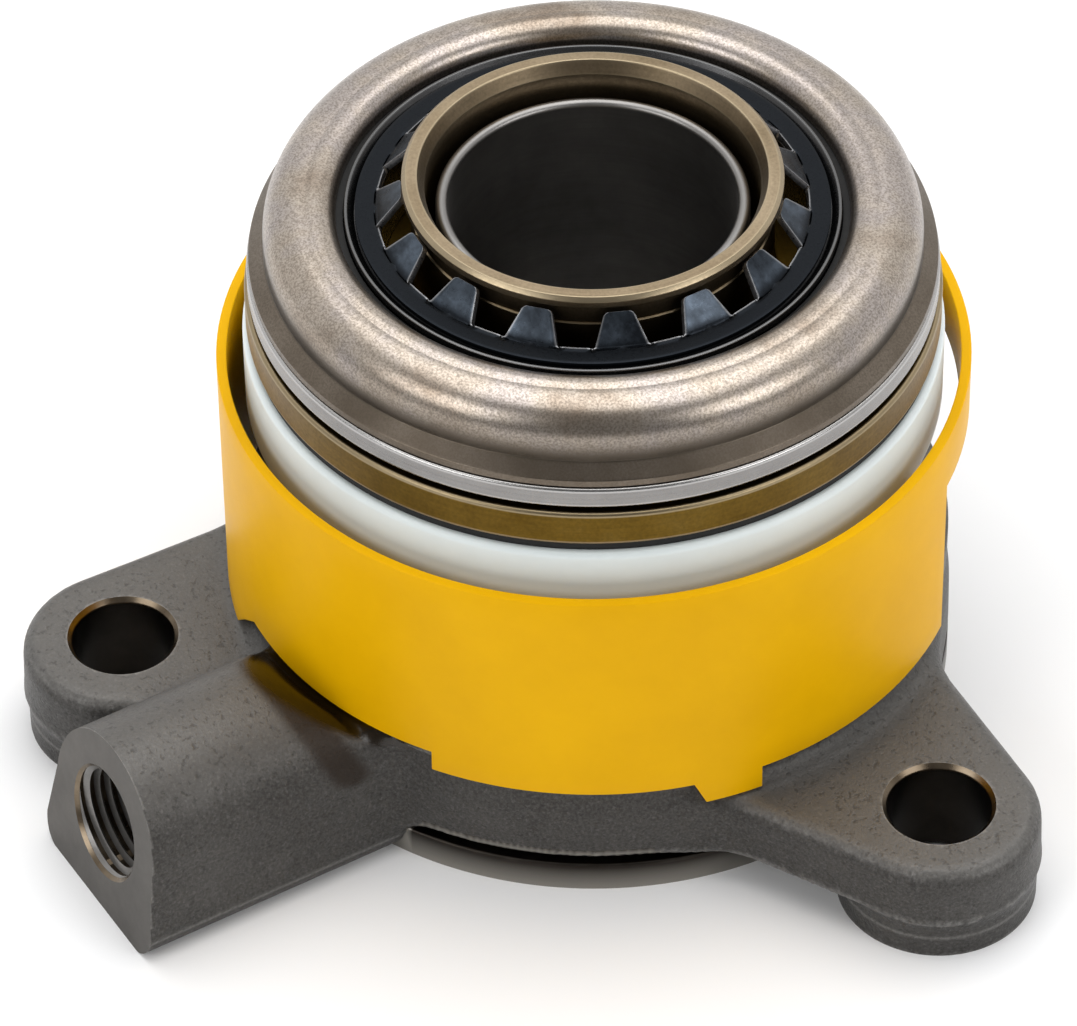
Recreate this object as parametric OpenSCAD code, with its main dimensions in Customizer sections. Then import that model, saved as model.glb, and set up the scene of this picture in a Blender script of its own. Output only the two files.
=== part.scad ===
// Concentric slave cylinder with its clutch release bearing.
// The bore axis is +Z, the mounting face is Z = 0 and the hydraulic port points along -Y.
// The piston is drawn at the outer end of its travel, held against its stop ring.

/* [Guide tube] */
// Bore of the guide tube that the input shaft runs through
tube_bore_d = 24.7; // [22:0.1:28]
// Wall of the guide tube
tube_wall = 1.05; // [0.9:0.05:1.6]
// Height of the tube's lip above the bearing carrier's flange underside
tube_reach = 12.2; // [10:0.1:13]
// Radius of the rolled lip at the tube's outer end
tube_lip_round = 0.5; // [0.3:0.05:0.5]
// Width of the foot flange that the tube is pressed home on
tube_foot_w = 2.6; // [2:0.1:3]
// Thickness of the foot flange
tube_foot_t = 1.6; // [1.2:0.1:2]

/* [Hydraulics] */
// Travel of the piston
stroke = 10; // [7:0.5:11]
// Width of the ring-shaped pressure chamber
chamber_w = 6.6; // [5.8:0.1:7.2]
// Height of the chamber's floor
chamber_floor = 6.5; // [6.1:0.1:6.6]
// Wall of the cylinder
cylinder_wall = 3.5; // [3:0.1:4]
// Length of the piston
piston_h = 14.5; // [13.5:0.1:15.5]
// Height of the pressure seal
seal_h = 3.8; // [3.2:0.1:4.2]
// Thickness of the seal's lips
seal_lip = 1.5; // [1:0.1:1.8]
// Thickness of the ring that backs the seal
support_t = 1; // [0.8:0.1:1.4]
// Section of the tube's static seal ring
o_ring_d = 1.64; // [1.4:0.02:1.8]
// Section of the stop ring on the tube
stop_ring_d = 1.2; // [1:0.05:1.3]

/* [Port] */
// Height of the port's axis above the mounting face
port_z = 8.6; // [8.5:0.1:9.4]
// Sideways offset of the port's axis from the bore axis
port_offset = 5; // [3:0.1:7]
// Distance of the port's mouth from the bore axis
port_reach = 52.6; // [50:0.1:56]
// Lean of the port's face, away from square to the port's axis
port_tilt = 9; // [5:0.5:12]
// Outside radius of the port boss
port_boss_r = 8.4; // [8:0.1:9]
// How far the boss's flanks spread towards its foot
boss_draft = 0.9; // [0.5:0.1:1.3]
// Rounding of the boss's lower edges
boss_round = 1.2; // [0.8:0.1:1.6]
// Tapping diameter of the port's thread
port_tap_d = 9; // [8.6:0.1:9.4]
// Depth of the tapped hole
port_depth = 13; // [10:0.5:14]
// Width of the countersink at the port's mouth
port_chamfer = 0.9; // [0.5:0.1:1.2]
// Width of the plain step between the countersink and the thread
port_step = 0.3; // [0.2:0.05:0.4]
// Depth of that step
step_depth = 2; // [2:0.1:2.6]
// Diameter of the drilling from the port to the chamber
passage_d = 3.2; // [2.6:0.1:3.6]

/* [Housing] */
// Height of the base plate, where the spring stands
base_top = 13.7; // [13.1:0.1:14.1]
// Height of the underside of the base disc
disc_bottom = 4.6; // [4.3:0.1:5]
// Height of the locating spigot
spigot_h = 2.9; // [2.4:0.1:3.4]
// How far the spigot stands out past the base disc
spigot_lip = 0.65; // [0.5:0.05:1]
// Depth of the groove above the spigot
groove_depth = 0.7; // [0.4:0.1:1]
// Width of the spigot ring
spigot_w = 5.1; // [4:0.1:6]
// Height of the pocket in the underside
pocket_h = 5; // [4:0.1:5.2]
// Height of the rim that the guard is pushed over
guard_rim_h = 1.8; // [1.4:0.1:2.4]
// Width of the rim that the guard is pushed over
guard_rim_w = 2.1; // [1.6:0.1:2.4]

/* [Lugs] */
// Angle of the first lug
lug_angle = 12; // [0:1:20]
// Diameter of the bolt circle
bolt_circle_d = 85.6; // [84:0.2:92]
// Diameter of the bolt holes
bolt_hole_d = 9; // [8.4:0.1:10]
// Width of the chamfer on the bolt holes
bolt_chamfer = 0.45; // [0.3:0.05:0.8]
// Radius of a lug's end
lug_r = 9; // [8.4:0.1:9.6]
// Height of the lugs' upper face
lug_top = 9.8; // [9.2:0.1:10.2]
// Height of the lugs' underside, where the round pads begin
lug_bottom = 3.8; // [3.2:0.1:4.2]
// Rounding of the lugs' upper edge
lug_round = 1.4; // [1:0.1:2.2]
// Half of the angle between a lug's flanks
lug_taper = 16; // [12:0.5:18]
// Difference between the radius of a lug and of its pad
pad_inset = 0.3; // [0.2:0.1:1]

/* [Spring and cup] */
// Wire diameter of the preload spring
wire_d = 2.4; // [2:0.1:2.6]
// Turns of the preload spring
spring_turns = 4.75; // [4:0.25:5]
// Room between the cylinder and the spring
spring_gap = 1.5; // [1:0.1:2]
// Room between the spring and the cup's skirt
cup_gap = 1.3; // [0.8:0.1:2]
// Wall of the spring cup's skirt
cup_wall = 1.6; // [1.2:0.1:2]
// Thickness of the spring cup's crown
cup_crown = 1.8; // [1.4:0.1:2.4]
// Height of the spring cup
cup_h = 7.5; // [6:0.1:9]
// Thickness of the isolating ring above the cup
isolator_t = 0.9; // [0.6:0.1:1.4]

/* [Guard] */
// Room between the moving pieces and the guard
guard_gap = 1.5; // [1.1:0.1:2]
// Wall of the guard
guard_wall = 0.9; // [0.8:0.1:1.2]
// Room between the guard and the rim that it is pushed over
guard_room = 0.5; // [0.3:0.05:0.7]
// Room between the guard's feet and the lugs
foot_room = 0.5; // [0.2:0.1:0.8]
// Height of the guard's upper edge
guard_top = 35.3; // [32:0.1:37]
// Height of the guard's lower edge
guard_bottom = 12.7; // [12.3:0.1:13.1]
// How far the lower edge is raised over the port
guard_raise = 2.1; // [1.6:0.1:2.6]
// Height of the strap over the guard's window
guard_strap = 5.8; // [5:0.1:9]
// Angle where the guard's window starts
window_start = 36.5; // [30:0.5:45]
// Angle where the guard's window ends
window_end = 112; // [105:0.5:116]
// Angle where the raised part of the lower edge starts
raised_start = -97; // [-100:0.5:-94]
// Angle where the raised part of the lower edge ends
raised_end = -57; // [-62:0.5:-50]
// Half of the angle that each wide foot takes
foot_half = 11; // [8:0.5:12]
// Half of the angle that the narrow foot takes
small_foot_half = 5.5; // [4:0.5:8]
// Angle between the narrow foot and its lug
small_foot_turn = 23; // [20:0.5:26]
// Share of the guard's room that the rib inside the window's edge takes
window_rib = 0.7; // [0.4:0.05:0.75]
// Angle that the rib inside the window's edge takes
rib_span = 3; // [2:0.5:5]
// Angle between the rib and the window's edge
rib_inset = 1; // [0.5:0.5:2]

/* [Bearing carrier] */
// Room between the guide tube and the carrier's sleeve
carrier_gap = 0.9; // [0.85:0.05:1.2]
// Wall of the carrier's sleeve
carrier_wall = 1.2; // [1:0.05:1.6]
// How far the carrier's flange stands out past the outer race
flange_lip = 0.27; // [0.15:0.01:0.4]
// Thickness of the carrier's flange
flange_t = 3.4; // [2.8:0.1:4]
// Height of the sleeve above the flange
sleeve_h = 11.6; // [11.3:0.1:13]
// How far the sleeve's end rim stands out
rim_w = 0.74; // [0.6:0.02:1]
// Thickness of the sleeve's end rim
rim_t = 1; // [0.8:0.05:1.1]
// Depth of the register that locates the cup
register_h = 1.6; // [1.2:0.1:2]
// Depth of the spigot that is pressed into the piston
carrier_spigot_h = 3; // [2.4:0.1:4]
// Wall of the spigot that is pressed into the piston
carrier_spigot_w = 2.7; // [2:0.1:3.2]

/* [Release bearing] */
// Diameter of the balls
ball_d = 4.762; // [4.4:0.001:5]
// Number of balls
ball_count = 18; // [12:1:20]
// Radial float of the bearing on its carrier
float_gap = 2.7; // [2.4:0.1:3]
// Width of the race's ledge that the clip presses on
clip_land = 2.1; // [1.8:0.1:2.4]
// Wall of the inner race above its ledge
lip_w = 0.85; // [0.7:0.05:1]
// Height of the inner race's ledge above the flange
ledge_h = 7.5; // [7.2:0.1:7.8]
// Gap between the inner race and the contact ring
cap_gap = 0.7; // [0.5:0.05:1]
// Gap between the inner race's wall and the balls
ball_gap = 0.35; // [0.3:0.01:0.4]
// Height of the balls' centres above the flange
ball_h = 3.6; // [3.5:0.05:3.8]
// Least wall of the outer race behind the balls
race_wall = 0.8; // [0.7:0.05:1]
// Height of the outer race's ground band
band_h = 2.05; // [1.9:0.05:2.2]
// Width of the outer race's ground band past the contact ring's wall
band_w = 1.5; // [1.4:0.05:1.7]
// Gap between the flange and the outer race
run_gap = 0.5; // [0.4:0.05:0.6]
// Thickness of the contact ring's sheet
cap_t = 1; // [0.9:0.05:1.1]
// Height of the contact ring's crest above the flange
crest_h = 9.3; // [9.2:0.05:9.6]
// Rounding of the contact ring's crest
crest_round = 1.85; // [1.7:0.05:2]
// Rounding of the contact ring's shoulder
shoulder_round = 3.46; // [3.36:0.02:3.56]
// Drop from the contact ring's crest to its shoulder
shoulder_drop = 0.16; // [0.1:0.02:0.24]
// Angle that the contact ring's skirt flares out at
flare_angle = 38.5; // [36:0.5:41]

/* [Retaining clip] */
// Number of spring fingers
finger_count = 15; // [10:1:16]
// Angle of the first finger
finger_angle = -24; // [-36:1:0]
// Thickness of the clip
clip_t = 0.6; // [0.5:0.05:0.7]
// Angle that the fingers rise at
finger_rise = 45; // [40:1:48]
// Length of a finger
finger_len = 3.4; // [3.1:0.05:3.5]
// Width of a finger at its root
finger_root_w = 4.6; // [3.6:0.1:5]
// Width of a finger at its tip
finger_tip_w = 3; // [2:0.1:3.4]

/* [Hidden] */
$fn = 96;
// Number of lugs: the guard's feet and the port are laid out for three
lug_count = 3;
// Clearance of a sliding fit
slide_gap = 0.04;
// Clearance of pieces that are pressed or set together
seat_gap = 0.02;
// Clearance of pieces that turn or are pushed on
run_fit = 0.1;
// Clearance between the balls and their tracks
track_gap = 0.07;
// Overlap of cutters past the faces that they open
past = 1;
// How far the cup's register stands out past the cylinder
register_step = 0.7;
// Small steps that keep neighbouring rings from ending flush
edge_step = 0.3;
// Room below the seal for the drilling, and between the ramp and the guard
port_land = 0.2;
// Travel to spare when the piston is fully in
stroke_spare = 0.5;
// Height of the stop ring's centre line above the tube's surface
stop_proud = 0.15;
// Lead-in at the cylinder's mouth
mouth_lead = 0.8;
// Width of the hub around the tube's foot
hub_w = 2.5;
// How far the lugs and the port boss reach into the base disc
lug_sink = 9;
boss_sink = 7;
// Depth of the static seal's groove below the chamber's floor
o_ring_drop = 2;
// Drop of the boss's ramp below the guard's raised edge
ramp_drop = 0.7;
// Share of the spring's rise that is even; the rest slows down at its end turns
even_pitch = 0.35;
// Sides of the spring's wire and steps in each of its turns
wire_sides = 10;
wire_steps = 28;

// Sizes of the seals, the cage and the contact ring's skirt
front_seal_t = 0.6;
rear_seal_t = 0.55;
rear_seal_w = 3.15;
cage_w = 1.4;
cage_drop = 1;
cage_crown = 0.6;
ball_cover = 0.8;
seal_seat_h = 0.55;
seal_rim_gap = 0.5;
seal_tuck = 0.9;
skirt_gap = 0.1;
skirt_step = 0.2;
skirt_h = 0.72;

// Radii of the hydraulic pieces, from the bore outwards
tube_r = tube_bore_d / 2 + tube_wall;
cylinder_r = tube_r + chamber_w;
cylinder_out_r = cylinder_r + cylinder_wall;
spring_r = cylinder_out_r + spring_gap + wire_d / 2;
cup_in_r = spring_r + wire_d / 2 + cup_gap;
cup_r = cup_in_r + cup_wall;
register_r = cylinder_out_r + register_step;
cup_bore_r = register_r + run_fit;

// Radii of the bearing, from the carrier outwards
carrier_bore_r = tube_r + carrier_gap;
neck_r = carrier_bore_r + carrier_wall;
rim_r = neck_r + rim_w;
race_bore_r = neck_r + float_gap;
clip_r = race_bore_r + clip_land;
race_lip_in_r = clip_r + run_fit / 2;
race_lip_r = race_lip_in_r + lip_w;
cap_in_r = race_lip_r + cap_gap;
ball_r = ball_d / 2;
track_r = ball_r + track_gap;
pitch_r = race_lip_r + ball_gap + ball_r;
race_out_r = pitch_r + track_r + race_wall;
cap_r = race_out_r + seat_gap + cap_t;
band_r = cap_r + band_w;
skirt_r = band_r - skirt_step;
flange_r = band_r + flange_lip;
crest_r = cap_in_r + crest_round;
shoulder_r = cap_r - shoulder_round;

// Radii of the guard and the housing
guard_in_r = max(cup_r, flange_r) + guard_gap;
guard_r = guard_in_r + guard_wall;
guard_seat_r = guard_in_r - guard_room;
disc_r = guard_seat_r - edge_step;
spigot_r = disc_r + spigot_lip;

// Heights of the moving pieces at the outer end of the travel
seal_z = port_z + passage_d / 2 + port_land + stroke;
support_z = seal_z + seal_h;
piston_z = support_z + support_t;
flange_z = piston_z + piston_h;
flange_top = flange_z + flange_t;
cylinder_top = flange_z - register_h - stroke - stroke_spare;
isolator_z = flange_z - isolator_t;
cup_z = isolator_z - cup_h;
spring_top = isolator_z - cup_crown;
spigot_z = flange_z - carrier_spigot_h;
tube_top = flange_z + tube_reach;
sleeve_top = flange_top + sleeve_h;
stop_z = spigot_z + stop_ring_d / 2;
stop_r = tube_r + stop_proud;

// Heights of the bearing
race_z = flange_top + run_gap;
band_top = race_z + band_h;
ball_z = flange_top + ball_h;
ledge_z = flange_top + ledge_h;
crest_z = flange_top + crest_h - crest_round;
shoulder_z = flange_top + crest_h - shoulder_drop - shoulder_round;
skirt_z = band_top + skirt_gap;
flare_z = skirt_z + skirt_h;
crease_z = flare_z + (skirt_r - cap_r) * tan(flare_angle);
race_top = shoulder_z;
front_seal_z = max(ball_z + ball_r + ball_cover, race_top + seal_seat_h);

// Radii of the contact ring's inner wall, and the heights of its flare's two sides at a radius
cap_wall_r = cap_r - cap_t;
skirt_wall_r = skirt_r - cap_t;
function flare_over(r) = crease_z - (r - cap_r) * tan(flare_angle);
function flare_under(r) = flare_over(r) - cap_t / cos(flare_angle);

// Radii and places of the seals and the cage
rear_seal_in_r = pitch_r - edge_step;
rear_seal_out_r = rear_seal_in_r + rear_seal_w;
cage_top = ball_z + ball_r + cage_crown;

// Radii and places in the housing
hub_r = tube_r + tube_foot_w + hub_w;
bolt_r = bolt_circle_d / 2;
lug_root_x = disc_r - lug_sink;
lug_root_r = lug_r + (bolt_r - lug_root_x) * sin(lug_taper);
o_ring_z = chamber_floor - o_ring_drop;
o_ring_groove_h = o_ring_d + edge_step;
port_cone_h = port_tap_d / 2 - passage_d / 2;
boss_ramp_z = guard_bottom + guard_raise - ramp_drop;
boss_ramp_r = guard_r + port_land;

// Angles of lug number i and of the guard's foot beside it
function lug_at(i) = lug_angle + i * 360 / lug_count;
function foot_at(i) = i == 0
  ? [lug_at(0) - small_foot_turn - small_foot_half, lug_at(0) - small_foot_turn + small_foot_half]
  : [lug_at(i) - foot_half, lug_at(i) + foot_half];
// The guard's lower edge after foot number i, up to the next foot
function edge_after(i) = i < lug_count - 1
  ? [foot_at(i)[1], foot_at(i + 1)[0]]
  : [foot_at(i)[1], foot_at(0)[0] + 360];

// A rectangle in the turning section, from radius r0 to r1 and from height z0 to z1
module block(r0, r1, z0, z1) {
  translate([r0, z0]) square([r1 - r0, z1 - z0]);
}

// A ring turned from a rectangular section
module ring(r0, r1, z0, z1) {
  rotate_extrude() block(r0, r1, z0, z1);
}

// A piece of such a ring between two angles
module ring_sector(r0, r1, z0, z1, angles) {
  rotate([0, 0, angles[0]]) rotate_extrude(angle = angles[1] - angles[0]) block(r0, r1, z0, z1);
}

// Places its children at every lug
module at_lugs() {
  for (i = [0 : lug_count - 1]) rotate([0, 0, lug_at(i)]) children();
}

// A flat disc with a rounded upper edge
module rounded_coin(r) {
  rotate_extrude($fn = 48) {
    block(0, r, lug_bottom, lug_top - lug_round);
    block(0, r - lug_round, lug_bottom, lug_top);
    translate([r - lug_round, lug_top - lug_round]) circle(lug_round, $fn = 32);
  }
}

// A lug that widens from its bolt hole into the base disc
module lug() {
  hull() {
    translate([bolt_r, 0, 0]) rounded_coin(lug_r);
    translate([lug_root_x, 0, 0]) rounded_coin(lug_root_r);
  }
  translate([bolt_r, 0, 0]) cylinder(r = lug_r - pad_inset, h = lug_bottom + past);
}

// The bolt hole with a chamfer at both ends
module bolt_hole() {
  translate([bolt_r, 0, 0]) rotate_extrude() {
    block(0, bolt_hole_d / 2, -past, lug_top + past);
    polygon([[0, lug_top - bolt_chamfer], [bolt_hole_d / 2, lug_top - bolt_chamfer],
      [bolt_hole_d / 2 + bolt_chamfer, lug_top], [0, lug_top]]);
    polygon([[0, 0], [bolt_hole_d / 2 + bolt_chamfer, 0],
      [bolt_hole_d / 2, bolt_chamfer], [0, bolt_chamfer]]);
  }
}

// Section of the port boss: a round crown on two flanks that spread towards the foot
module boss_section() {
  foot_x = port_boss_r + boss_draft;
  foot_z = boss_round - port_z;
  circle(port_boss_r);
  polygon([[-port_boss_r, 0], [-foot_x, foot_z], [boss_round - foot_x, -port_z],
    [foot_x - boss_round, -port_z], [foot_x, foot_z], [port_boss_r, 0]]);
  for (side = [-1, 1]) translate([side * (foot_x - boss_round), foot_z]) circle(boss_round);
}

// Places its children at the port's mouth, square to its leaning face, with +Z into the boss
module at_port_face() {
  translate([port_offset, -port_reach, port_z]) rotate([-90 - port_tilt, 0, 0]) children();
}

// The port boss, with its leaning face and a ramp that clears the guard
module port_boss() {
  spare = port_z * tan(port_tilt) + past;
  cut = 4 * port_boss_r;
  difference() {
    translate([port_offset, boss_sink - disc_r, port_z]) rotate([90, 0, 0])
      linear_extrude(height = port_reach - disc_r + boss_sink + spare) boss_section();
    at_port_face() translate([-cut / 2, -cut / 2, -cut]) cube(cut);
    rotate_extrude() polygon([[0, boss_ramp_z], [boss_ramp_r, boss_ramp_z],
      [boss_ramp_r + port_boss_r, boss_ramp_z + port_boss_r], [0, boss_ramp_z + port_boss_r]]);
  }
}

// The tapped port with its step and countersink, and the drilling to the chamber
module port_drilling() {
  passage_end = tube_r + chamber_w / 3;
  lead = 2 * past;
  translate([port_offset, -port_reach, port_z]) rotate([-90, 0, 0]) {
    translate([0, 0, -lead]) cylinder(r = port_tap_d / 2 + port_step, h = step_depth + lead);
    cylinder(d = port_tap_d, h = port_depth);
    translate([0, 0, port_depth]) cylinder(d1 = port_tap_d, d2 = passage_d, h = port_cone_h);
    translate([0, 0, port_depth]) cylinder(d = passage_d, h = port_reach - port_depth - passage_end);
  }
  at_port_face() translate([0, 0, -port_chamfer]) cylinder(r1 = port_tap_d / 2 + 2 * port_chamfer,
    r2 = port_tap_d / 2 - port_chamfer, h = 3 * port_chamfer);
}

// The turned outside of the housing
module housing_outside() {
  rotate_extrude() {
    block(0, spigot_r, 0, spigot_h);
    block(0, disc_r - groove_depth, spigot_h, disc_bottom);
    block(0, disc_r, disc_bottom, base_top);
    block(disc_r - guard_rim_w, guard_seat_r, guard_bottom + port_land, base_top + guard_rim_h);
    block(0, cylinder_out_r, base_top, cylinder_top);
  }
}

// The turned hollows of the housing
module housing_hollows() {
  groove_r = tube_r + o_ring_d + 2 * seat_gap;
  rotate_extrude() {
    block(0, tube_r + seat_gap, -past, chamber_floor + past);
    block(0, tube_r + tube_foot_w + seat_gap, -past, tube_foot_t + seat_gap);
    block(0, groove_r, o_ring_z - o_ring_groove_h / 2, o_ring_z + o_ring_groove_h / 2);
    block(0, cylinder_r, chamber_floor, cylinder_top + past);
    polygon([[0, cylinder_top - 2 * mouth_lead], [cylinder_r, cylinder_top - 2 * mouth_lead],
      [cylinder_r + mouth_lead, cylinder_top], [cylinder_r + mouth_lead, cylinder_top + past],
      [0, cylinder_top + past]]);
    block(hub_r, spigot_r - spigot_w, -past, pocket_h);
  }
}

// Die-cast body with the cylinder, the lugs, the port and the spigot
module housing() {
  color("dimgray") difference() {
    union() {
      housing_outside();
      at_lugs() lug();
      port_boss();
    }
    housing_hollows();
    at_lugs() bolt_hole();
    port_drilling();
  }
}

// Steel tube that carries the piston and clears the input shaft
module guide_tube() {
  bore_r = tube_bore_d / 2;
  lip_z = tube_top - tube_lip_round;
  color("gray") rotate_extrude() difference() {
    union() {
      block(bore_r, tube_r, 0, lip_z);
      block(bore_r, tube_r + tube_foot_w, 0, tube_foot_t);
      block(bore_r + tube_lip_round, tube_r - tube_lip_round, 0, tube_top);
      translate([bore_r + tube_lip_round, lip_z]) circle(tube_lip_round);
      translate([tube_r - tube_lip_round, lip_z]) circle(tube_lip_round);
    }
    translate([stop_r, stop_z]) circle(stop_ring_d / 2 + seat_gap);
  }
}

// Static seal between the tube and the housing
module tube_o_ring() {
  o_ring_r = tube_r + seat_gap + o_ring_d / 2;
  color("black") rotate_extrude() translate([o_ring_r, o_ring_z]) circle(d = o_ring_d);
}

// Wire ring that ends the piston's travel
module stop_ring() {
  color("silver") rotate_extrude() translate([stop_r, stop_z]) circle(d = stop_ring_d);
}

// Cuts the guard's wall between two angles, from below its feet up to a height
module guard_cut(angles, z) {
  ring_sector(guard_in_r - past, guard_r + past, 0, z, angles);
}

// Plastic sleeve with a window, a raised edge over the port and three feet
module guard_sleeve() {
  strap_z = guard_top - guard_strap;
  rib_z = base_top + guard_rim_h + run_fit;
  rib_end = window_start - rib_inset;
  color("gold") {
    difference() {
      ring(guard_in_r, guard_r, lug_top + foot_room, guard_top);
      for (i = [0 : lug_count - 1]) guard_cut(edge_after(i), guard_bottom);
      guard_cut([raised_start, raised_end], guard_bottom + guard_raise);
      guard_cut([window_start, window_end], strap_z);
    }
    ring_sector(guard_in_r - window_rib * guard_gap, guard_in_r + guard_wall / 2, rib_z, strap_z,
      [rib_end - rib_span, rib_end]);
  }
}

// Height of the spring's centre line after a share of its turns, with its end turns closed
function coil_rise(share) = share * share * (3 - 2 * share);
function coil_z(share) = base_top + wire_d / 2 + seat_gap
  + (spring_top - base_top - wire_d - 2 * seat_gap)
  * (even_pitch * share + (1 - even_pitch) * coil_rise(share));

// One ring of points around the wire
function wire_ring(share) = [for (k = [0 : wire_sides - 1])
  let (turn = 360 * spring_turns * share, tilt = 360 * k / wire_sides)
  let (r = spring_r + wire_d / 2 * cos(tilt))
    [r * cos(turn), r * sin(turn), coil_z(share) + wire_d / 2 * sin(tilt)]];

// The four corners of one facet, between steps i and i + 1 and sides k and k + 1
function wire_facet(i, k) = let (n = wire_sides, next = (k + 1) % wire_sides)
  [i * n + k, (i + 1) * n + k, (i + 1) * n + next, i * n + next];

// Helical spring that keeps the bearing against the clutch
module preload_spring() {
  steps = ceil(spring_turns * wire_steps);
  points = [for (i = [0 : steps]) each wire_ring(i / steps)];
  walls = [for (i = [0 : steps - 1], k = [0 : wire_sides - 1]) wire_facet(i, k)];
  first = [for (k = [0 : wire_sides - 1]) k];
  last = [for (k = [wire_sides - 1 : -1 : 0]) steps * wire_sides + k];
  color("slategray") polyhedron(points, concat(walls, [first], [last]));
}

// Ring piston that slides on the tube
module piston() {
  color("lightgray") rotate_extrude() difference() {
    block(tube_r + slide_gap, cylinder_r - slide_gap, piston_z, flange_z);
    block(0, carrier_bore_r + carrier_spigot_w + seat_gap, spigot_z - seat_gap, flange_z + past);
  }
}

// Pressure seal with its two lips towards the chamber
module piston_seal() {
  color("darkslategray") rotate_extrude() difference() {
    block(tube_r + slide_gap, cylinder_r - slide_gap, seal_z, support_z);
    block(tube_r + seal_lip, cylinder_r - seal_lip, seal_z - past, seal_z + seal_h / 2);
  }
}

// Ring that stops the seal from being squeezed past the piston
module seal_support_ring() {
  color("ivory") ring(tube_r + run_fit, cylinder_r - run_fit, support_z, piston_z);
}

// White cup that guides the outer end of the spring
module spring_cup() {
  color("white") rotate_extrude() {
    block(cup_in_r, cup_r, cup_z, isolator_z);
    block(cup_bore_r, cup_r, spring_top, isolator_z);
  }
}

// Thin ring between the cup and the carrier's flange
module isolator_ring() {
  color("black") ring(cup_bore_r, flange_r - edge_step, isolator_z, flange_z);
}

// Flanged sleeve that carries the bearing on the piston
module bearing_carrier() {
  rim_chamfer = rim_t / 3;
  mouth_r = carrier_bore_r + carrier_wall / 2;
  mouth_z = sleeve_top - carrier_wall;
  color("darkgoldenrod") rotate_extrude() difference() {
    union() {
      block(carrier_bore_r, carrier_bore_r + carrier_spigot_w, spigot_z, flange_z);
      block(carrier_bore_r, flange_r, flange_z, flange_top);
      block(cylinder_r + run_fit, register_r, flange_z - register_h, flange_z);
      block(carrier_bore_r, neck_r, flange_z, sleeve_top);
      block(carrier_bore_r, rim_r, sleeve_top - rim_t, sleeve_top);
    }
    polygon([[rim_r + past, sleeve_top + past], [rim_r - rim_chamfer - past, sleeve_top + past],
      [rim_r - rim_chamfer, sleeve_top], [rim_r, sleeve_top - rim_chamfer],
      [rim_r + past, sleeve_top - rim_chamfer]]);
    polygon([[carrier_bore_r - past, sleeve_top + past], [mouth_r, sleeve_top + past],
      [mouth_r, sleeve_top], [carrier_bore_r, mouth_z], [carrier_bore_r - past, mouth_z]]);
  }
}

// Spring-steel star that holds the bearing down but lets it float sideways
module retaining_clip() {
  color("midnightblue") {
    ring(race_bore_r, clip_r, ledge_z, ledge_z + clip_t);
    for (i = [0 : finger_count - 1]) rotate([0, 0, finger_angle + i * 360 / finger_count])
      translate([race_bore_r, 0, ledge_z]) rotate([0, finger_rise, 0]) finger();
  }
}

// One finger, lying along -X from the clip's ring
module finger() {
  linear_extrude(height = clip_t) polygon([[0, -finger_root_w / 2], [0, finger_root_w / 2],
    [-finger_len, finger_tip_w / 2], [-finger_len, -finger_tip_w / 2]]);
}

// Race that stands still on the carrier
module inner_race() {
  shoulder_r1 = rear_seal_in_r - run_fit;
  shoulder_z1 = ball_z - track_gap;
  lip_z = ledge_z + clip_t;
  color("lightsteelblue") rotate_extrude() difference() {
    polygon([[race_bore_r, flange_top], [shoulder_r1, flange_top], [shoulder_r1, shoulder_z1],
      [race_lip_r, shoulder_z1], [race_lip_r, lip_z], [race_lip_in_r + clip_t, lip_z],
      [race_lip_in_r, ledge_z], [race_bore_r, ledge_z]]);
    translate([pitch_r, ball_z]) circle(track_r);
  }
}

// Section of the contact ring's form, drawn smaller by an inset, down to height z0
module cap_form(inset, z0) {
  block(crest_r - crest_round + inset, cap_r - inset, z0, min(crest_z, shoulder_z));
  block(crest_r - crest_round + inset, crest_r, z0, crest_z);
  block(crest_r, shoulder_r, z0, shoulder_z + shoulder_round / 2);
  translate([crest_r, crest_z]) circle(crest_round - inset);
  translate([shoulder_r, shoulder_z]) circle(shoulder_round - inset);
}

// Pressed ring whose crown meets the clutch's diaphragm fingers
module contact_ring() {
  lip_z = front_seal_z + front_seal_t + run_fit;
  color("rosybrown") rotate_extrude() difference() {
    union() {
      cap_form(0, flare_z);
      polygon([[shoulder_r, skirt_z], [skirt_r, skirt_z], [skirt_r, flare_z],
        [shoulder_r, flare_over(shoulder_r)]]);
    }
    cap_form(cap_t, skirt_z - past);
    polygon([[crest_r, skirt_z - past], [skirt_wall_r, skirt_z - past],
      [skirt_wall_r, flare_under(skirt_wall_r)], [crest_r, flare_under(crest_r)]]);
    block(0, crest_r, skirt_z - past, lip_z);
  }
}

// Ground race that turns with the contact ring
module outer_race() {
  shoulder_in_r = pitch_r + cage_w / 2 + edge_step;
  rebate_z = race_z + rear_seal_t + seat_gap;
  seat_r = skirt_wall_r - seat_gap;
  color("silver") rotate_extrude() difference() {
    union() {
      block(rear_seal_out_r + seat_gap, band_r, race_z, band_top);
      block(shoulder_in_r, band_r, rebate_z, band_top);
      polygon([[shoulder_in_r, rebate_z], [seat_r, rebate_z],
        [seat_r, flare_under(skirt_wall_r) - seat_gap], [race_out_r, flare_under(cap_wall_r) - seat_gap],
        [race_out_r, race_top], [shoulder_in_r, race_top]]);
    }
    translate([pitch_r, ball_z]) circle(track_r);
  }
}

// Dust seal under the contact ring's inner lip
module front_seal() {
  rim_in_r = pitch_r + cage_w / 2 + seal_rim_gap;
  seal_top = front_seal_z + front_seal_t;
  color("black") rotate_extrude() {
    block(race_lip_r + run_fit, rim_in_r + past, front_seal_z, seal_top);
    block(rim_in_r, cap_wall_r - seal_tuck, race_top + seat_gap, seal_top);
  }
}

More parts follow.
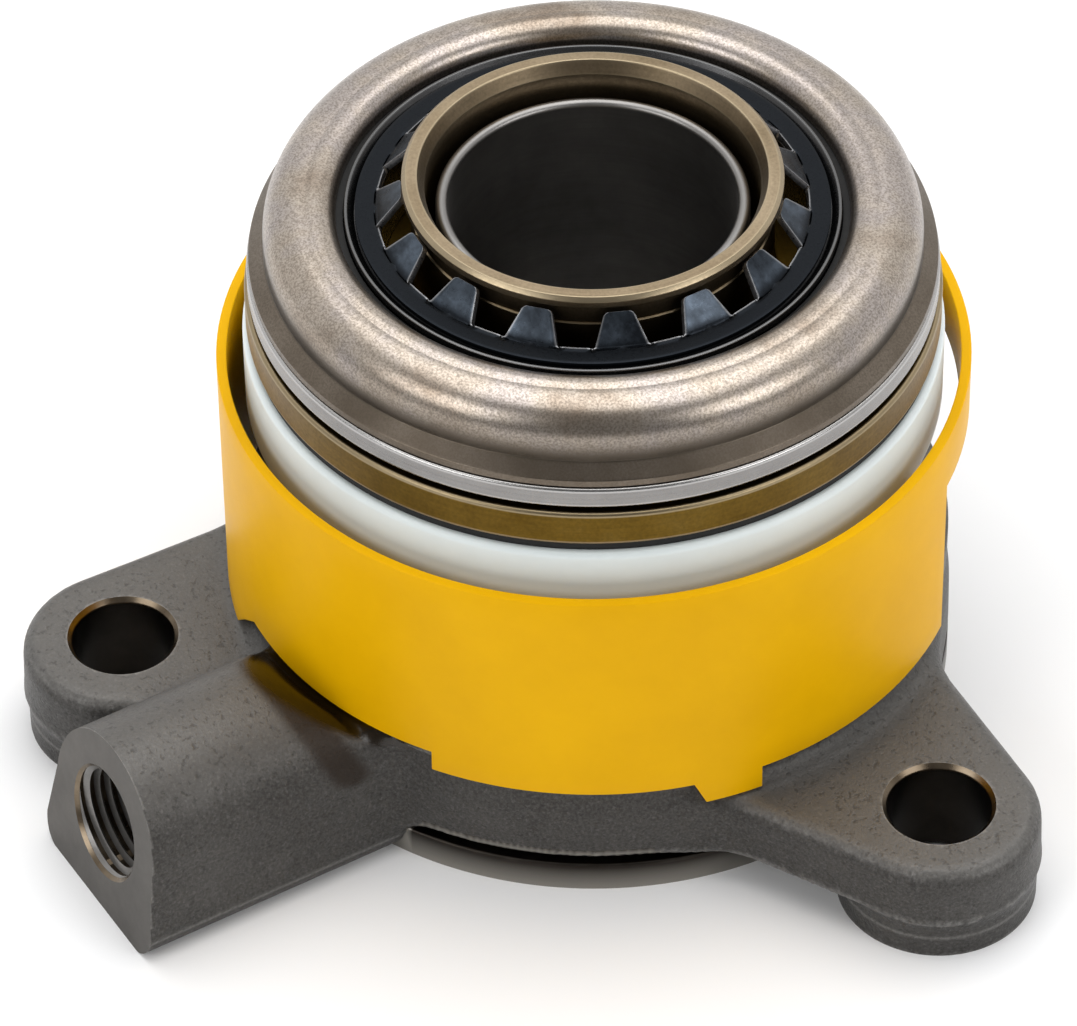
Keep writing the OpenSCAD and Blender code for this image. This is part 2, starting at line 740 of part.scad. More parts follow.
// Dust seal on the carrier's side of the bearing
module rear_seal() {
  color("black") ring(rear_seal_in_r, rear_seal_out_r, race_z, race_z + rear_seal_t);
}

// Crown cage with a pocket for each ball
module ball_cage() {
  color("tan") difference() {
    ring(pitch_r - cage_w / 2, pitch_r + cage_w / 2, ball_z - cage_drop, cage_top);
    at_balls() sphere(track_r);
  }
}

// Places its children at every ball
module at_balls() {
  for (i = [0 : ball_count - 1]) rotate([0, 0, i * 360 / ball_count])
    translate([pitch_r, 0, ball_z]) children();
}

// The set of balls
module balls() {
  color("white") at_balls() sphere(ball_r);
}

housing();
guide_tube();
tube_o_ring();
stop_ring();
guard_sleeve();
preload_spring();
piston();
piston_seal();
seal_support_ring();
spring_cup();
isolator_ring();
bearing_carrier();
retaining_clip();
inner_race();
contact_ring();
outer_race();
front_seal();
rear_seal();
ball_cage();
balls();
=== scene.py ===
"""Looks of a concentric slave cylinder with its clutch release bearing.

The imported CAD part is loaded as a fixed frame. The pieces that show get a dressed mesh: the casting
grows from a distance field, the rings are turned from sections, and the spring, the port's thread and
the clip's star come from Geometry Nodes. All sizes are in millimetres and become metres in the mesh.
"""
import math

import bmesh
import bpy
import numpy as np
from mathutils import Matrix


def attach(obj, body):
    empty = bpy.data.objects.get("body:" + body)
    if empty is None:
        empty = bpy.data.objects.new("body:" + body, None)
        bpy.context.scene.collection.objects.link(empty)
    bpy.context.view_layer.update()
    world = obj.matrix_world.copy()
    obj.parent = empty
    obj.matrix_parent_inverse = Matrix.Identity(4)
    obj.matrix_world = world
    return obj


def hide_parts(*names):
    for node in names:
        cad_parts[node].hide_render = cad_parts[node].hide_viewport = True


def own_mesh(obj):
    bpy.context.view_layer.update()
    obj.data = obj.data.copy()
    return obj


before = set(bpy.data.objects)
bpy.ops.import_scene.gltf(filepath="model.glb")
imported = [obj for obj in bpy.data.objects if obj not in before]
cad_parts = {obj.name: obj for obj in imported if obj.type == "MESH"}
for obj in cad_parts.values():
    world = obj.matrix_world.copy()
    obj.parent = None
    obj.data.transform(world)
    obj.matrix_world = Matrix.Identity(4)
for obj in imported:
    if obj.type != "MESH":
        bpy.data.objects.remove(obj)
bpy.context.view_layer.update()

import openvdb
from mathutils import Matrix, Vector

MM = 0.001

# Photograph's view: where the camera stands, how it is turned and how its frame is shifted
CAMERA_AZIMUTH = 58.6
CAMERA_ELEVATION = 43.11
CAMERA_ROLL = -0.00604
CAMERA_DISTANCE = 0.6
CAMERA_AIM = Vector((0, 0, 0.0211))
CAMERA_LENS = 227.87
CAMERA_SHIFT = (-0.0520, -0.0476)

# Guide tube: bore and outside, its foot in the housing and the groove for the stop ring
TUBE_BORE_R = 12.35
TUBE_R = 13.4
TUBE_TOP = 51.9
TUBE_FOOT_R = 16.0
TUBE_FOOT_H = 1.6
STOP_GROOVE_Z = (37.0, 37.3, 38.1)
STOP_GROOVE_DEPTH = 0.25

# Housing
CYLINDER_R = 20.0
CYLINDER_OUT_R = 23.5
CYLINDER_TOP = 27.6
MOUTH_LEAD = 0.8
CHAMBER_FLOOR = 6.5
O_RING_Z = CHAMBER_FLOOR - 2.0
DISC_R = 31.0
DISC_BOTTOM = 4.6
BASE_TOP = 13.7
GUARD_RIM_R = (28.9, 31.3)
GUARD_RIM_Z = (12.9, 15.5)
SPIGOT_R = 31.65
SPIGOT_H = 2.9
GROOVE_R = 30.3
POCKET_R = (18.5, 26.55)
POCKET_H = 5.0
UNDERCUT = 0.6
LUG_ANGLES = (12, 132, 252)
BOLT_R = 42.8
BOLT_HOLE_R = 4.5
BOLT_CHAMFER = 0.4
LUG_R = 9.0
LUG_ROOT_X = 22.0
LUG_ROOT_R = 14.73
LUG_Z = (3.8, 9.8)
LUG_ROUND = 1.4
LUG_FOOT_ROUND = 0.45
LUG_DRAFT = 0.035
LUG_BLEND = 4.5
PAD_R = 8.7
PAD_BLEND = 0.7
PAD_OVERLAP = 0.5
WALL_DROP = 0.6
TUBE_FIT = 0.02
O_RING_GROOVE = (1.68, 0.97)

# Casting skin: the box it is grown in, its fineness and the finishes of its faces
SKIN_LOW = (-41.0, -57.0, -1.5)
SKIN_HIGH = (54.0, 44.0, 19.5)
VOXEL = 0.43
CAST, MILLED, BRONZED, TURNED, SHADED_BORE = range(5)

# Port
PORT_X = 5.0
PORT_Z = 8.6
PORT_MOUTH_Y = -52.6
PORT_TILT = 9.0
BOSS_R = 8.4
BOSS_DRAFT = 0.9
BOSS_ROUND = 2.4
BOSS_ROOT_Y = -24.0
BOSS_SPARE = 2.4
BOSS_SINK = 0.1
BOSS_BLEND = 2.6
BOSS_WALL_BLEND = 2.2
PARTING_Z = 2.3
PARTING_STEP = 0.12
PARTING_SLOPE = 0.35
RAMP_R = 32.9
RAMP_Z = 14.1
RAMP_ROUND = 1.6
# Reach of the dark brown painted shade on the glossy ramp beside the guard
RAMP_SHADE_REACH = 1.5
# A straight band of painted shade on the boss: where it lies, its height, lean and half width, and where it
# fades out
SHADE_BAND_Y = -34.7
SHADE_BAND_Z = 15.0
SHADE_BAND_LEAN = 0.44
SHADE_BAND_HALF = 1.5
SHADE_BAND_LOW_Z = 9.0
THREAD_R = 4.98
THREAD_TURNS = 13.5
THREAD_PITCH = 1.0
THREAD_START = -1.5
THREAD_RIDGE_R = 0.52
THREAD_SINK = 0.04
THREAD_STEPS = 700
PORT_DEPTH = 13.0
PORT_MOUTH_R = 5.3
PASSAGE_R = 1.6
PASSAGE_END = 38

# Guard
GUARD_R = (31.8, 32.7)
GUARD_TOP = 35.3
GUARD_STRAP_Z = 29.5
GUARD_EDGE_Z = 12.7
GUARD_RAISED_Z = 14.8
GUARD_FOOT_Z = 10.3
GUARD_WINDOW = (36.5, 112.0)
GUARD_RAISED = (263.0, 303.0)
GUARD_FEET = ((-16.5, -5.5), (121.0, 143.0), (241.0, 263.0))
FOOT_END_LEAN = {343.5: 1.9, 121.0: 1.4, 143.0: -1.4, 241.0: 1.0}
SLANTED_FOOT_ENDS = {GUARD_FOOT_Z: 254.0, GUARD_EDGE_Z: 258.3}
GUARD_ROWS_Z = (19.1, 24.1, 32.4)
GUARD_EDGE_ROUND = 0.22
RIB_ANGLES = (32.5, 35.5)
RIB_R = 30.75
RIB_Z = (15.6, 29.48)

# Spring
SPRING_R = 26.2
WIRE_R = 1.2
SPRING_TURNS = 4.75
SPRING_Z = (13.72, 36.98)
SPRING_EVEN = 0.35
SPRING_STEPS = 420
WIRE_SIDES = 20

# Spring cup: its skirt and its seat on the spring
CUP_R = (28.7, 30.3)
CUP_Z = (31.3, 38.8)
CUP_SEAT_R = 24.3
CUP_SEAT_Z = 37.0

# Bearing carrier: underside and top of its flange, where the turned sections are measured from
FLANGE_Z = 39.7
FLANGE_TOP = 43.1
FLANGE_R = 29.97
ISOLATOR_R = 29.67
ISOLATOR_T = 0.9
TRACK = (23.931, 3.6)
TRACK_R = 2.451

# Clip
FINGERS = 15
FINGER_START = -24.0
CLIP_T = 0.6
CLIP_R = (18.3, 20.26)
CLIP_Z = FLANGE_TOP + 7.8
FINGER_ROOT = 2.35
FINGER_TIP = 1.2
FINGER_BEND_R = 0.9
FINGER_BEND_START = 18.69
FINGER_LENGTH = 3.08
FINGER_CORNER = 0.3
FINGER_TIP_ROUND = 0.35
CLIP_SLACK = 0.04
CLIP_EDGE_ROUND = 0.08
CLIP_WORN_R = 20.0


def new_piece(name, verts, faces, materials):
    """A mesh object at the origin from points in millimetres."""
    mesh = bpy.data.meshes.new(name)
    mesh.from_pydata([tuple(c * MM for c in v) for v in verts], [], faces)
    for material in materials:
        mesh.materials.append(material)
    mesh.validate()
    mesh.update()
    piece = bpy.data.objects.new(name, mesh)
    bpy.context.scene.collection.objects.link(piece)
    return piece


def set_smooth(piece, sharp_deg=32):
    """Smooth shading that stops at real edges."""
    piece.data.shade_smooth()
    piece.data.set_sharp_from_angle(angle=math.radians(sharp_deg))


def set_value(piece, name, values):
    """Keeps a value from 0 to 1 per vertex for the materials, such as how worn an edge is."""
    layer = piece.data.attributes.new(name, "FLOAT", "POINT")
    layer.data.foreach_set("value", np.clip(values, 0, 1).astype(np.float32))


def rows_of(items, key):
    """One vector of every vertex or face of a mesh, as rows of three."""
    flat = np.empty(len(items) * 3)
    items.foreach_get(key, flat)
    return flat.reshape(-1, 3)


def baked(piece):
    """Turns a piece with modifiers into a plain mesh with none."""
    graph = bpy.context.evaluated_depsgraph_get()
    mesh = bpy.data.meshes.new_from_object(piece.evaluated_get(graph))
    piece.modifiers.clear()
    old = piece.data
    piece.data = mesh
    bpy.data.meshes.remove(old)


def fit(piece, body, finish, *nodes):
    """Says which body a piece moves with and which CAD nodes it stands for, which it hides. The finish is not
    used.
    """
    if nodes:
        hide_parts(*nodes)
    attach(piece, body)


# Turned pieces


def filleted(section, steps=5):
    """Rounds the corners of a closed section. Each corner is (r, z) or (r, z, radius).
    Gives the points and, for each, how much of a sharp outer edge it is."""
    points, wear = [], []
    n = len(section)
    for i, corner in enumerate(section):
        here = Vector(corner[:2])
        to_a = Vector(section[i - 1][:2]) - here
        to_b = Vector(section[(i + 1) % n][:2]) - here
        turn = to_a.x * to_b.y - to_a.y * to_b.x
        outer = 1.0 if turn < 0 else 0.0
        radius = corner[2] if len(corner) > 2 else 0
        la, lb = to_a.length, to_b.length
        half = to_a.angle(to_b) / 2
        if radius <= 0 or half > math.pi / 2 - 0.02:
            points.append(tuple(here))
            wear.append(outer if half < 1.3 else 0.0)
            continue
        reach = min(radius / math.tan(half), 0.49 * la, 0.49 * lb)
        radius = reach * math.tan(half)
        ua, ub = to_a / la, to_b / lb
        centre = here + (ua + ub).normalized() * (radius / math.sin(half))
        start, end = here + ua * reach - centre, here + ub * reach - centre
        sweep = start.angle_signed(end)
        for k in range(steps + 1):
            turned = Matrix.Rotation(-sweep * k / steps, 2) @ start
            points.append(tuple(centre + turned))
            wear.append(outer * min(1.0, 0.3 / max(radius, 0.05)))
    return points, wear


def section_area(points):
    """Area of a closed section, negative when it runs clockwise."""
    return sum(a[0] * b[1] - b[0] * a[1] for a, b in zip(points, points[1:] + points[:1])) / 2


def with_flats(points, wear, margin=0.12):
    """Adds unworn points beside the corners of long flats, so that a worn edge stays narrow."""
    more, marks = [], []
    for i, point in enumerate(points):
        here, there = Vector(point), Vector(points[(i + 1) % len(points)])
        more.append(point)
        marks.append(wear[i])
        length = (there - here).length
        if length > 4 * margin:
            more += [tuple(here.lerp(there, margin / length)), tuple(here.lerp(there, 1 - margin / length))]
            marks += [0.0, 0.0]
    return more, marks


def turned_mesh(section, around=224, steps=5):
    """Points, faces and wear of a section turned around +Z. Corners on the axis become poles."""
    points, wear = filleted(section, steps)
    if section_area(points) < 0:
        points, wear = filleted(section[::-1], steps)
    points, wear = with_flats(points, wear)
    verts, marks, rows = [], [], []
    angles = [2 * math.pi * k / around for k in range(around)]
    for (r, z), w in zip(points, wear):
        if r < 1e-6:
            rows.append([len(verts)] * around)
            verts.append((0, 0, z))
            marks.append(0)
        else:
            rows.append(list(range(len(verts), len(verts) + around)))
            verts += [(r * math.cos(a), r * math.sin(a), z) for a in angles]
            marks += [w] * around
    faces = []
    for row, up in zip(rows, rows[1:] + rows[:1]):
        if row[0] == row[1] and up[0] == up[1]:
            continue
        for k in range(around):
            m = (k + 1) % around
            ring = []
            for v in (row[k], row[m], up[m], up[k]):
                if v not in ring:
                    ring.append(v)
            faces.append(ring)
    return verts, faces, marks


def turned_piece(name, section, material, around=224, steps=5):
    """A smooth piece turned from a section, with its worn edges marked."""
    verts, faces, marks = turned_mesh(section, around, steps)
    piece = new_piece(name, verts, faces, [material])
    set_value(piece, "wear", np.array(marks))
    set_smooth(piece)
    return piece


def arc(centre, radius, start, end, steps=14):
    """Points of a circular arc in a section, between two angles in degrees."""
    angles = np.radians(np.linspace(start, end, steps))
    return [(centre[0] + radius * math.cos(a), centre[1] + radius * math.sin(a)) for a in angles]


def raised(section, height):
    """A section lifted by a height."""
    return [(corner[0], corner[1] + height, *corner[2:]) for corner in section]


def guide_tube(material):
    """Drawn tube with a wide foot and the stop ring's groove."""
    low, middle, high = STOP_GROOVE_Z
    section = [(TUBE_BORE_R, 0), (TUBE_FOOT_R, 0, 0.2), (TUBE_FOOT_R, TUBE_FOOT_H, 0.2),
               (TUBE_R, TUBE_FOOT_H, 0.3), (TUBE_R, low), (TUBE_R - STOP_GROOVE_DEPTH, middle, 0.3),
               (TUBE_R, high), (TUBE_R, TUBE_TOP, 0.5), (TUBE_BORE_R, TUBE_TOP, 0.5)]
    return turned_piece("guide_tube", section, material, 192)


def spring_cup(material):
    """White cup: a skirt around the spring's top turn and a flat seat."""
    section = [(CUP_R[0], CUP_Z[0], 0.3), (CUP_R[1], CUP_Z[0], 0.35), (CUP_R[1], CUP_Z[1], 0.55),
               (CUP_SEAT_R, CUP_Z[1], 0.3), (CUP_SEAT_R, CUP_SEAT_Z, 0.3), (CUP_R[0], CUP_SEAT_Z, 0.7)]
    return turned_piece("spring_cup", section, material)


def isolator_ring(material):
    """Thin black ring between the cup and the flange."""
    low = -ISOLATOR_T
    section = [(CUP_SEAT_R, low), (ISOLATOR_R, low, 0.15), (ISOLATOR_R, 0, 0.15), (CUP_SEAT_R, 0)]
    return turned_piece("isolator_ring", raised(section, FLANGE_Z), material)


def bearing_carrier(material):
    """Sleeve with a wide flange below, and a rolled rim on a neck with one fine groove above."""
    collar = [(14.3, -3, 0.3), (17, -3, 0.3), (17, 0), (20.1, 0), (20.1, -1.6, 0.2), (24.2, -1.6, 0.3),
              (24.2, 0, 0.1)]
    flange = [(FLANGE_R, 0, 0.25), (FLANGE_R, 3.4, 0.3), (15.5, 3.4, 0.5)]
    groove = [(15.5, 11.6), (15.35, 11.7), (15.35, 11.95), (15.5, 12.05)]
    rim = [(15.5, 14, 0.25), (16.24, 14, 0.12), (16.24, 14.67, 0.1), (15.91, 15, 0.1), (14.9, 15, 0.1),
           (14.3, 13.8, 0.2)]
    return turned_piece("bearing_carrier", raised(collar + flange + groove + rim, FLANGE_Z), material)


def inner_race(material):
    """Race on the flange, with the balls' track below and a lip around the clip above."""
    section = [(18.2, 0, 0.2), (23.53, 0, 0.15), (23.53, 1.18), *arc(TRACK, TRACK_R, -99.4, -178.4),
               (21.2, 3.53), (21.2, 8.1, 0.12), (20.95, 8.1, 0.1), (20.35, 7.5, 0.1), (18.2, 7.5, 0.2)]
    return turned_piece("inner_race", raised(section, FLANGE_TOP), material)


def outer_race(material):
    """Race with its ground band, which shows below the contact ring."""
    band = [(26.8, 0.5, 0.1), (29.7, 0.5, 0.3), (29.7, 2.55, 0.3)]
    under_cap = [(28.48, 2.55), (28.48, 2.85), (27.18, 3.88), (27.18, 5.68, 0.2)]
    inside = [(25.23, 5.68), *arc(TRACK, TRACK_R, 58, -66), (24.93, 1.07), (26.8, 1.07)]
    return turned_piece("outer_race", raised(band + under_cap + inside, FLANGE_TOP), material)


def contact_ring(material):
    """Pressed cap: a bead at its inner rim, a round dome, a wall with a crease and a flared skirt."""
    bead, dome = (23.75, 7.45), (24.733, 5.682)
    outside = [*arc(bead, 1.85, 180, 65.7), *arc(dome, 3.462, 93, 0, 22), (28.195, 4.4, 0.1),
               (29.5, 3.37, 0.12), (29.5, 2.65, 0.12)]
    inside = [(28.5, 2.65), (28.5, 2.89), (27.2, 3.92), *arc(dome, 2.462, 0, 93), *arc(bead, 0.85, 65.7, 180)]
    return turned_piece("contact_ring", raised(outside + inside, FLANGE_TOP), material, steps=6)


# Casting: a distance field for the skin, then turned and drilled cuts


def smooth_union(a, b, k):
    """Joins a and b, with a fillet about k wide between them."""
    h = np.clip(0.5 + 0.5 * (b - a) / k, 0, 1)
    return b + (a - b) * h - k * h * (1 - h)


def smooth_cut(a, b, k):
    """Takes b away from a, with a rounded rim."""
    return -smooth_union(-a, b, k)


def rounded_both(a, b, r):
    """Where a and b overlap, with the edge between them rounded."""
    return np.minimum(np.maximum(a + r, b + r), 0) + np.hypot(np.maximum(a + r, 0), np.maximum(b + r, 0)) - r


def tapered_bar(x, y, r1, r2, h):
    """Distance to two circles, at 0 and at h along x, and the straight flanks between them."""
    y = np.abs(y)
    b = (r1 - r2) / h
    a = math.sqrt(1 - b * b)
    k = -b * y + a * x
    low = np.hypot(x, y) - r1
    high = np.hypot(x - h, y) - r2
    flank = y * a + x * b - r1
    return np.where(k < 0, low, np.where(k > a * h, high, flank))


def boss_section(x, z):
    """Distance to the boss's end view: a round crown on flanks that spread towards the foot."""
    below = np.clip((PORT_Z - z) / (PORT_Z - BOSS_ROUND), 0, 1)
    step = PARTING_STEP * np.clip((PARTING_Z - z) / PARTING_SLOPE, 0, 1)
    flanks = np.abs(x) - (BOSS_R + BOSS_DRAFT * below - step)
    crown = np.hypot(x, z - PORT_Z) - BOSS_R
    return np.where(z > PORT_Z, crown, rounded_both(flanks, -BOSS_SINK - z, BOSS_ROUND))


def casting_field(x, y, z):
    """Distance field of the as-cast skin: the lugs with their pads and the port boss around the disc."""
    r = np.hypot(x, y)
    plan = r - DISC_R
    pads = np.full_like(r, 1e3)
    for deg in LUG_ANGLES:
        a = math.radians(deg)
        u = x * math.cos(a) + y * math.sin(a)
        v = -x * math.sin(a) + y * math.cos(a)
        bar = tapered_bar(u - LUG_ROOT_X, v, LUG_ROOT_R, LUG_R, BOLT_R - LUG_ROOT_X)
        plan = smooth_union(plan, bar, LUG_BLEND)
        pads = np.minimum(pads, np.hypot(u - BOLT_R, v) - PAD_R)
    flank = plan + LUG_DRAFT * (z - LUG_Z[0])
    lugs = rounded_both(rounded_both(flank, z - LUG_Z[1], LUG_ROUND), LUG_Z[0] - z, LUG_FOOT_ROUND)
    pads = np.maximum(np.maximum(pads, z - LUG_Z[0] - PAD_OVERLAP), -UNDERCUT - z)
    body = smooth_union(lugs, pads, PAD_BLEND)
    ends = np.maximum(y - BOSS_ROOT_Y, PORT_MOUTH_Y - BOSS_SPARE - y)
    boss = np.maximum(boss_section(x - PORT_X, z), ends)
    ramp = np.maximum(RAMP_Z - z, ((r - RAMP_R) - (z - RAMP_Z)) * math.sqrt(0.5))
    boss = smooth_cut(boss, ramp, RAMP_ROUND)
    wall = np.maximum(r - DISC_R, np.maximum(DISC_BOTTOM - z, z - BASE_TOP + WALL_DROP))
    boss = smooth_union(boss, wall, BOSS_WALL_BLEND)
    return smooth_union(body, boss, BOSS_BLEND)


def casting_skin():
    """Mesh of the skin, and a function that reads its curvature at given points."""
    low, high = np.array(SKIN_LOW), np.array(SKIN_HIGH)
    count = np.ceil((high - low) / VOXEL).astype(int)
    axes = [low[i] + VOXEL * np.arange(count[i]) for i in range(3)]
    x, y, z = (g.astype(np.float32) for g in np.meshgrid(*axes, indexing="ij"))
    field = casting_field(x, y, z).astype(np.float32)
    bend = sum(np.gradient(np.gradient(field, VOXEL, axis=i), VOXEL, axis=i) for i in range(3))
    grid = openvdb.FloatGrid(background=3.0)
    grid.copyFromArray(np.ascontiguousarray(np.clip(field, -3, 3)))
    points, quads = grid.convertToQuads(isovalue=0.0)
    points = points.astype(float) * VOXEL + low

    def curvature(where):
        index = np.clip(np.rint((where - low) / VOXEL).astype(int), 0, count - 1)
        return bend[index[:, 0], index[:, 1], index[:, 2]]

    return points, quads, curvature


def carve(piece, tool, operation):
    """Joins a closed tool to a piece or cuts it away, and removes the tool."""
    step = piece.modifiers.new(operation.lower(), "BOOLEAN")
    step.object = tool
    step.operation = operation
    step.solver = "MANIFOLD"
    bpy.context.view_layer.update()
    baked(piece)
    old = tool.data
    bpy.data.objects.remove(tool)
    bpy.data.meshes.remove(old)


def turned_tool(name, section, place=Matrix.Identity(4), around=96):
    """A closed turned solid for a cut, set at a place."""
    verts, faces, _ = turned_mesh(section, around)
    tool = new_piece(name, verts, faces, [])
    shift = place.copy()
    shift.translation = shift.translation * MM
    tool.data.transform(shift)
    return tool


def box_tool(name, low, high, place=Matrix.Identity(4)):
    """A closed box for a cut, set at a place."""
    corners = [(x, y, z) for x in (low[0], high[0]) for y in (low[1], high[1]) for z in (low[2], high[2])]
    faces = [(0, 1, 3, 2), (4, 6, 7, 5), (0, 4, 5, 1), (2, 3, 7, 6), (0, 2, 6, 4), (1, 5, 7, 3)]
    return new_piece(name, [place @ Vector(corner) for corner in corners], faces, [])


def port_place(tilt=0.0):
    """Puts a tool along the port: its zero lies at the mouth and its +Z runs into the boss."""
    turn = Matrix.Rotation(math.radians(-90 - tilt), 4, "X")
    return Matrix.Translation((PORT_X, PORT_MOUTH_Y, PORT_Z)) @ turn


def core_section():
    """Turned outside of the body: spigot, groove, disc, the guard's seat and the cylinder."""
    return [(0, -UNDERCUT), (SPIGOT_R, -UNDERCUT), (SPIGOT_R, SPIGOT_H, 0.25), (GROOVE_R, SPIGOT_H, 0.1),
            (GROOVE_R, DISC_BOTTOM, 0.1), (DISC_R, DISC_BOTTOM, 0.45), (DISC_R, GUARD_RIM_Z[0]),
            (GUARD_RIM_R[1], GUARD_RIM_Z[0]), (GUARD_RIM_R[1], GUARD_RIM_Z[1], 0.3),
            (GUARD_RIM_R[0], GUARD_RIM_Z[1], 0.3), (GUARD_RIM_R[0], BASE_TOP, 0.4),
            (CYLINDER_OUT_R, BASE_TOP, 0.8), (CYLINDER_OUT_R, CYLINDER_TOP, 0.4), (0, CYLINDER_TOP)]


def hollow_section():
    """Turned inside of the body: the tube's seat, its seal groove and the pressure chamber."""
    seat, foot, foot_top = TUBE_R + TUBE_FIT, TUBE_FOOT_R + TUBE_FIT, TUBE_FOOT_H + TUBE_FIT
    depth, half = O_RING_GROOVE
    groove, groove_low, groove_high = TUBE_R + depth, O_RING_Z - half, O_RING_Z + half
    return [(0, -1), (foot, -1), (foot, foot_top), (seat, foot_top), (seat, groove_low), (groove, groove_low),
            (groove, groove_high), (seat, groove_high), (seat, CHAMBER_FLOOR),
            (CYLINDER_R, CHAMBER_FLOOR, 0.5), (CYLINDER_R, CYLINDER_TOP - 2 * MOUTH_LEAD),
            (CYLINDER_R + MOUTH_LEAD, CYLINDER_TOP), (CYLINDER_R + MOUTH_LEAD, CYLINDER_TOP + 1),
            (0, CYLINDER_TOP + 1)]


def bolt_hole_section():
    """Bolt hole through a lug, with a small chamfer at both ends."""
    wide, top = BOLT_HOLE_R + BOLT_CHAMFER, LUG_Z[1]
    return [(0, -1), (wide + 1, -1), (BOLT_HOLE_R, BOLT_CHAMFER, 0.1), (BOLT_HOLE_R, top - BOLT_CHAMFER, 0.3),
            (wide, top), (wide, top + 1), (0, top + 1)]


def pocket_section():
    """Ring pocket in the underside."""
    inner, outer = POCKET_R
    return [(inner, -1), (outer, -1), (outer, POCKET_H, 0.8), (inner, POCKET_H, 0.8)]


def drill_section():
    """Tapping hole of the port and the passage from it into the chamber."""
    return [(0, -2), (THREAD_R, -2), (THREAD_R, PORT_DEPTH), (PASSAGE_R, PORT_DEPTH + 3),
            (PASSAGE_R, PASSAGE_END), (0, PASSAGE_END)]


def mouth_section(spare=0.0):
    """Countersink of the port, square to its leaning face."""
    wide = PORT_MOUTH_R + spare
    return [(0, -1), (wide + 1, -1), (wide - 1, 1), (0, 1)]


def cast_body(finishes):
    """Die-cast body: skin, turned core, hollows, bolt holes and port."""
    points, quads, curvature = casting_skin()
    body = new_piece("cast_body", points, [tuple(q) for q in quads], finishes)
    carve(body, turned_tool("core", core_section(), around=192), "UNION")
    carve(body, box_tool("under", (-60, -70, -5), (60, 60, 0)), "DIFFERENCE")
    carve(body, box_tool("front", (-30, -30, -20), (30, 30, 0), port_place(PORT_TILT)), "DIFFERENCE")
    carve(body, turned_tool("hollow", hollow_section(), around=160), "DIFFERENCE")
    carve(body, turned_tool("pocket", pocket_section(), around=160), "DIFFERENCE")
    for deg in LUG_ANGLES:
        place = Matrix.Rotation(math.radians(deg), 4, "Z") @ Matrix.Translation((BOLT_R, 0, 0))
        carve(body, turned_tool("bolt_hole", bolt_hole_section(), place), "DIFFERENCE")
    carve(body, turned_tool("drill", drill_section(), port_place()), "DIFFERENCE")
    carve(body, turned_tool("mouth", mouth_section(), port_place(PORT_TILT)), "DIFFERENCE")
    finish_cuts(body)
    set_smooth(body, 36)
    mark_rubbed(body, curvature)
    mark_painted_light_and_shade(body)
    return body


def finish_cuts(body):
    """Gives each cut face of the casting its finish."""
    faces = body.data.polygons
    c = rows_of(faces, "center") / MM
    n = rows_of(faces, "normal")
    r = np.hypot(c[:, 0], c[:, 1])
    kind = np.full(len(c), CAST)
    inward = (n[:, 0] * c[:, 0] + n[:, 1] * c[:, 1]) < -0.3 * r
    kind[(r < SPIGOT_R + 0.05) & (c[:, 2] < DISC_BOTTOM - 0.02) & (r > POCKET_R[1] - 0.1)] = TURNED
    kind[(r < CYLINDER_OUT_R + 0.9) & ((c[:, 2] > BASE_TOP + 0.9) | inward)] = TURNED
    kind[(r < POCKET_R[0]) & (c[:, 2] < POCKET_H)] = TURNED
    kind[c[:, 2] < 0.005] = MILLED
    lean = math.radians(PORT_TILT)
    depth = (c[:, 1] - PORT_MOUTH_Y) * math.cos(lean) - (c[:, 2] - PORT_Z) * math.sin(lean)
    port = np.hypot(c[:, 0] - PORT_X, c[:, 2] - PORT_Z)
    kind[depth < 0.01] = MILLED
    kind[(port < PORT_MOUTH_R + 0.1) & (depth < PORT_DEPTH + 8) & (depth > 0.01)] = BRONZED
    for deg in LUG_ANGLES:
        a = math.radians(deg)
        hole = np.hypot(c[:, 0] - BOLT_R * math.cos(a), c[:, 1] - BOLT_R * math.sin(a))
        # The bolt holes' walls take a near-black alloy: painted shade inside the holes.
        kind[hole < BOLT_HOLE_R + 0.02] = SHADED_BORE
        near_top = (c[:, 2] > LUG_Z[1] - 0.55) & (n[:, 2] < 0.99)
        kind[(hole < BOLT_HOLE_R + BOLT_CHAMFER + 0.02) & near_top] = BRONZED
    faces.foreach_set("material_index", kind.astype(np.int32))


def mark_rubbed(body, curvature):
    """Marks where the casting is rubbed bright: outer rounds, the parting line and cut edges."""
    mesh = body.data
    where = rows_of(mesh.vertices, "co") / MM
    wear = np.clip(curvature(where) * 0.8 - 0.25, 0, 0.8)
    outside = np.hypot(where[:, 0], where[:, 1]) > SPIGOT_R + 0.5
    flash = (np.abs(where[:, 2] - PARTING_Z) < 0.2) & outside
    wear[flash] = np.maximum(wear[flash], 0.75)
    sharp = mesh.attributes.get("sharp_edge")
    if sharp:
        flags = np.empty(len(mesh.edges), bool)
        sharp.data.foreach_get("value", flags)
        ends = np.empty(len(mesh.edges) * 2, np.int32)
        mesh.edges.foreach_get("vertices", ends)
        wear[np.unique(ends.reshape(-1, 2)[flags])] = 1.0
    set_value(body, "wear", wear)


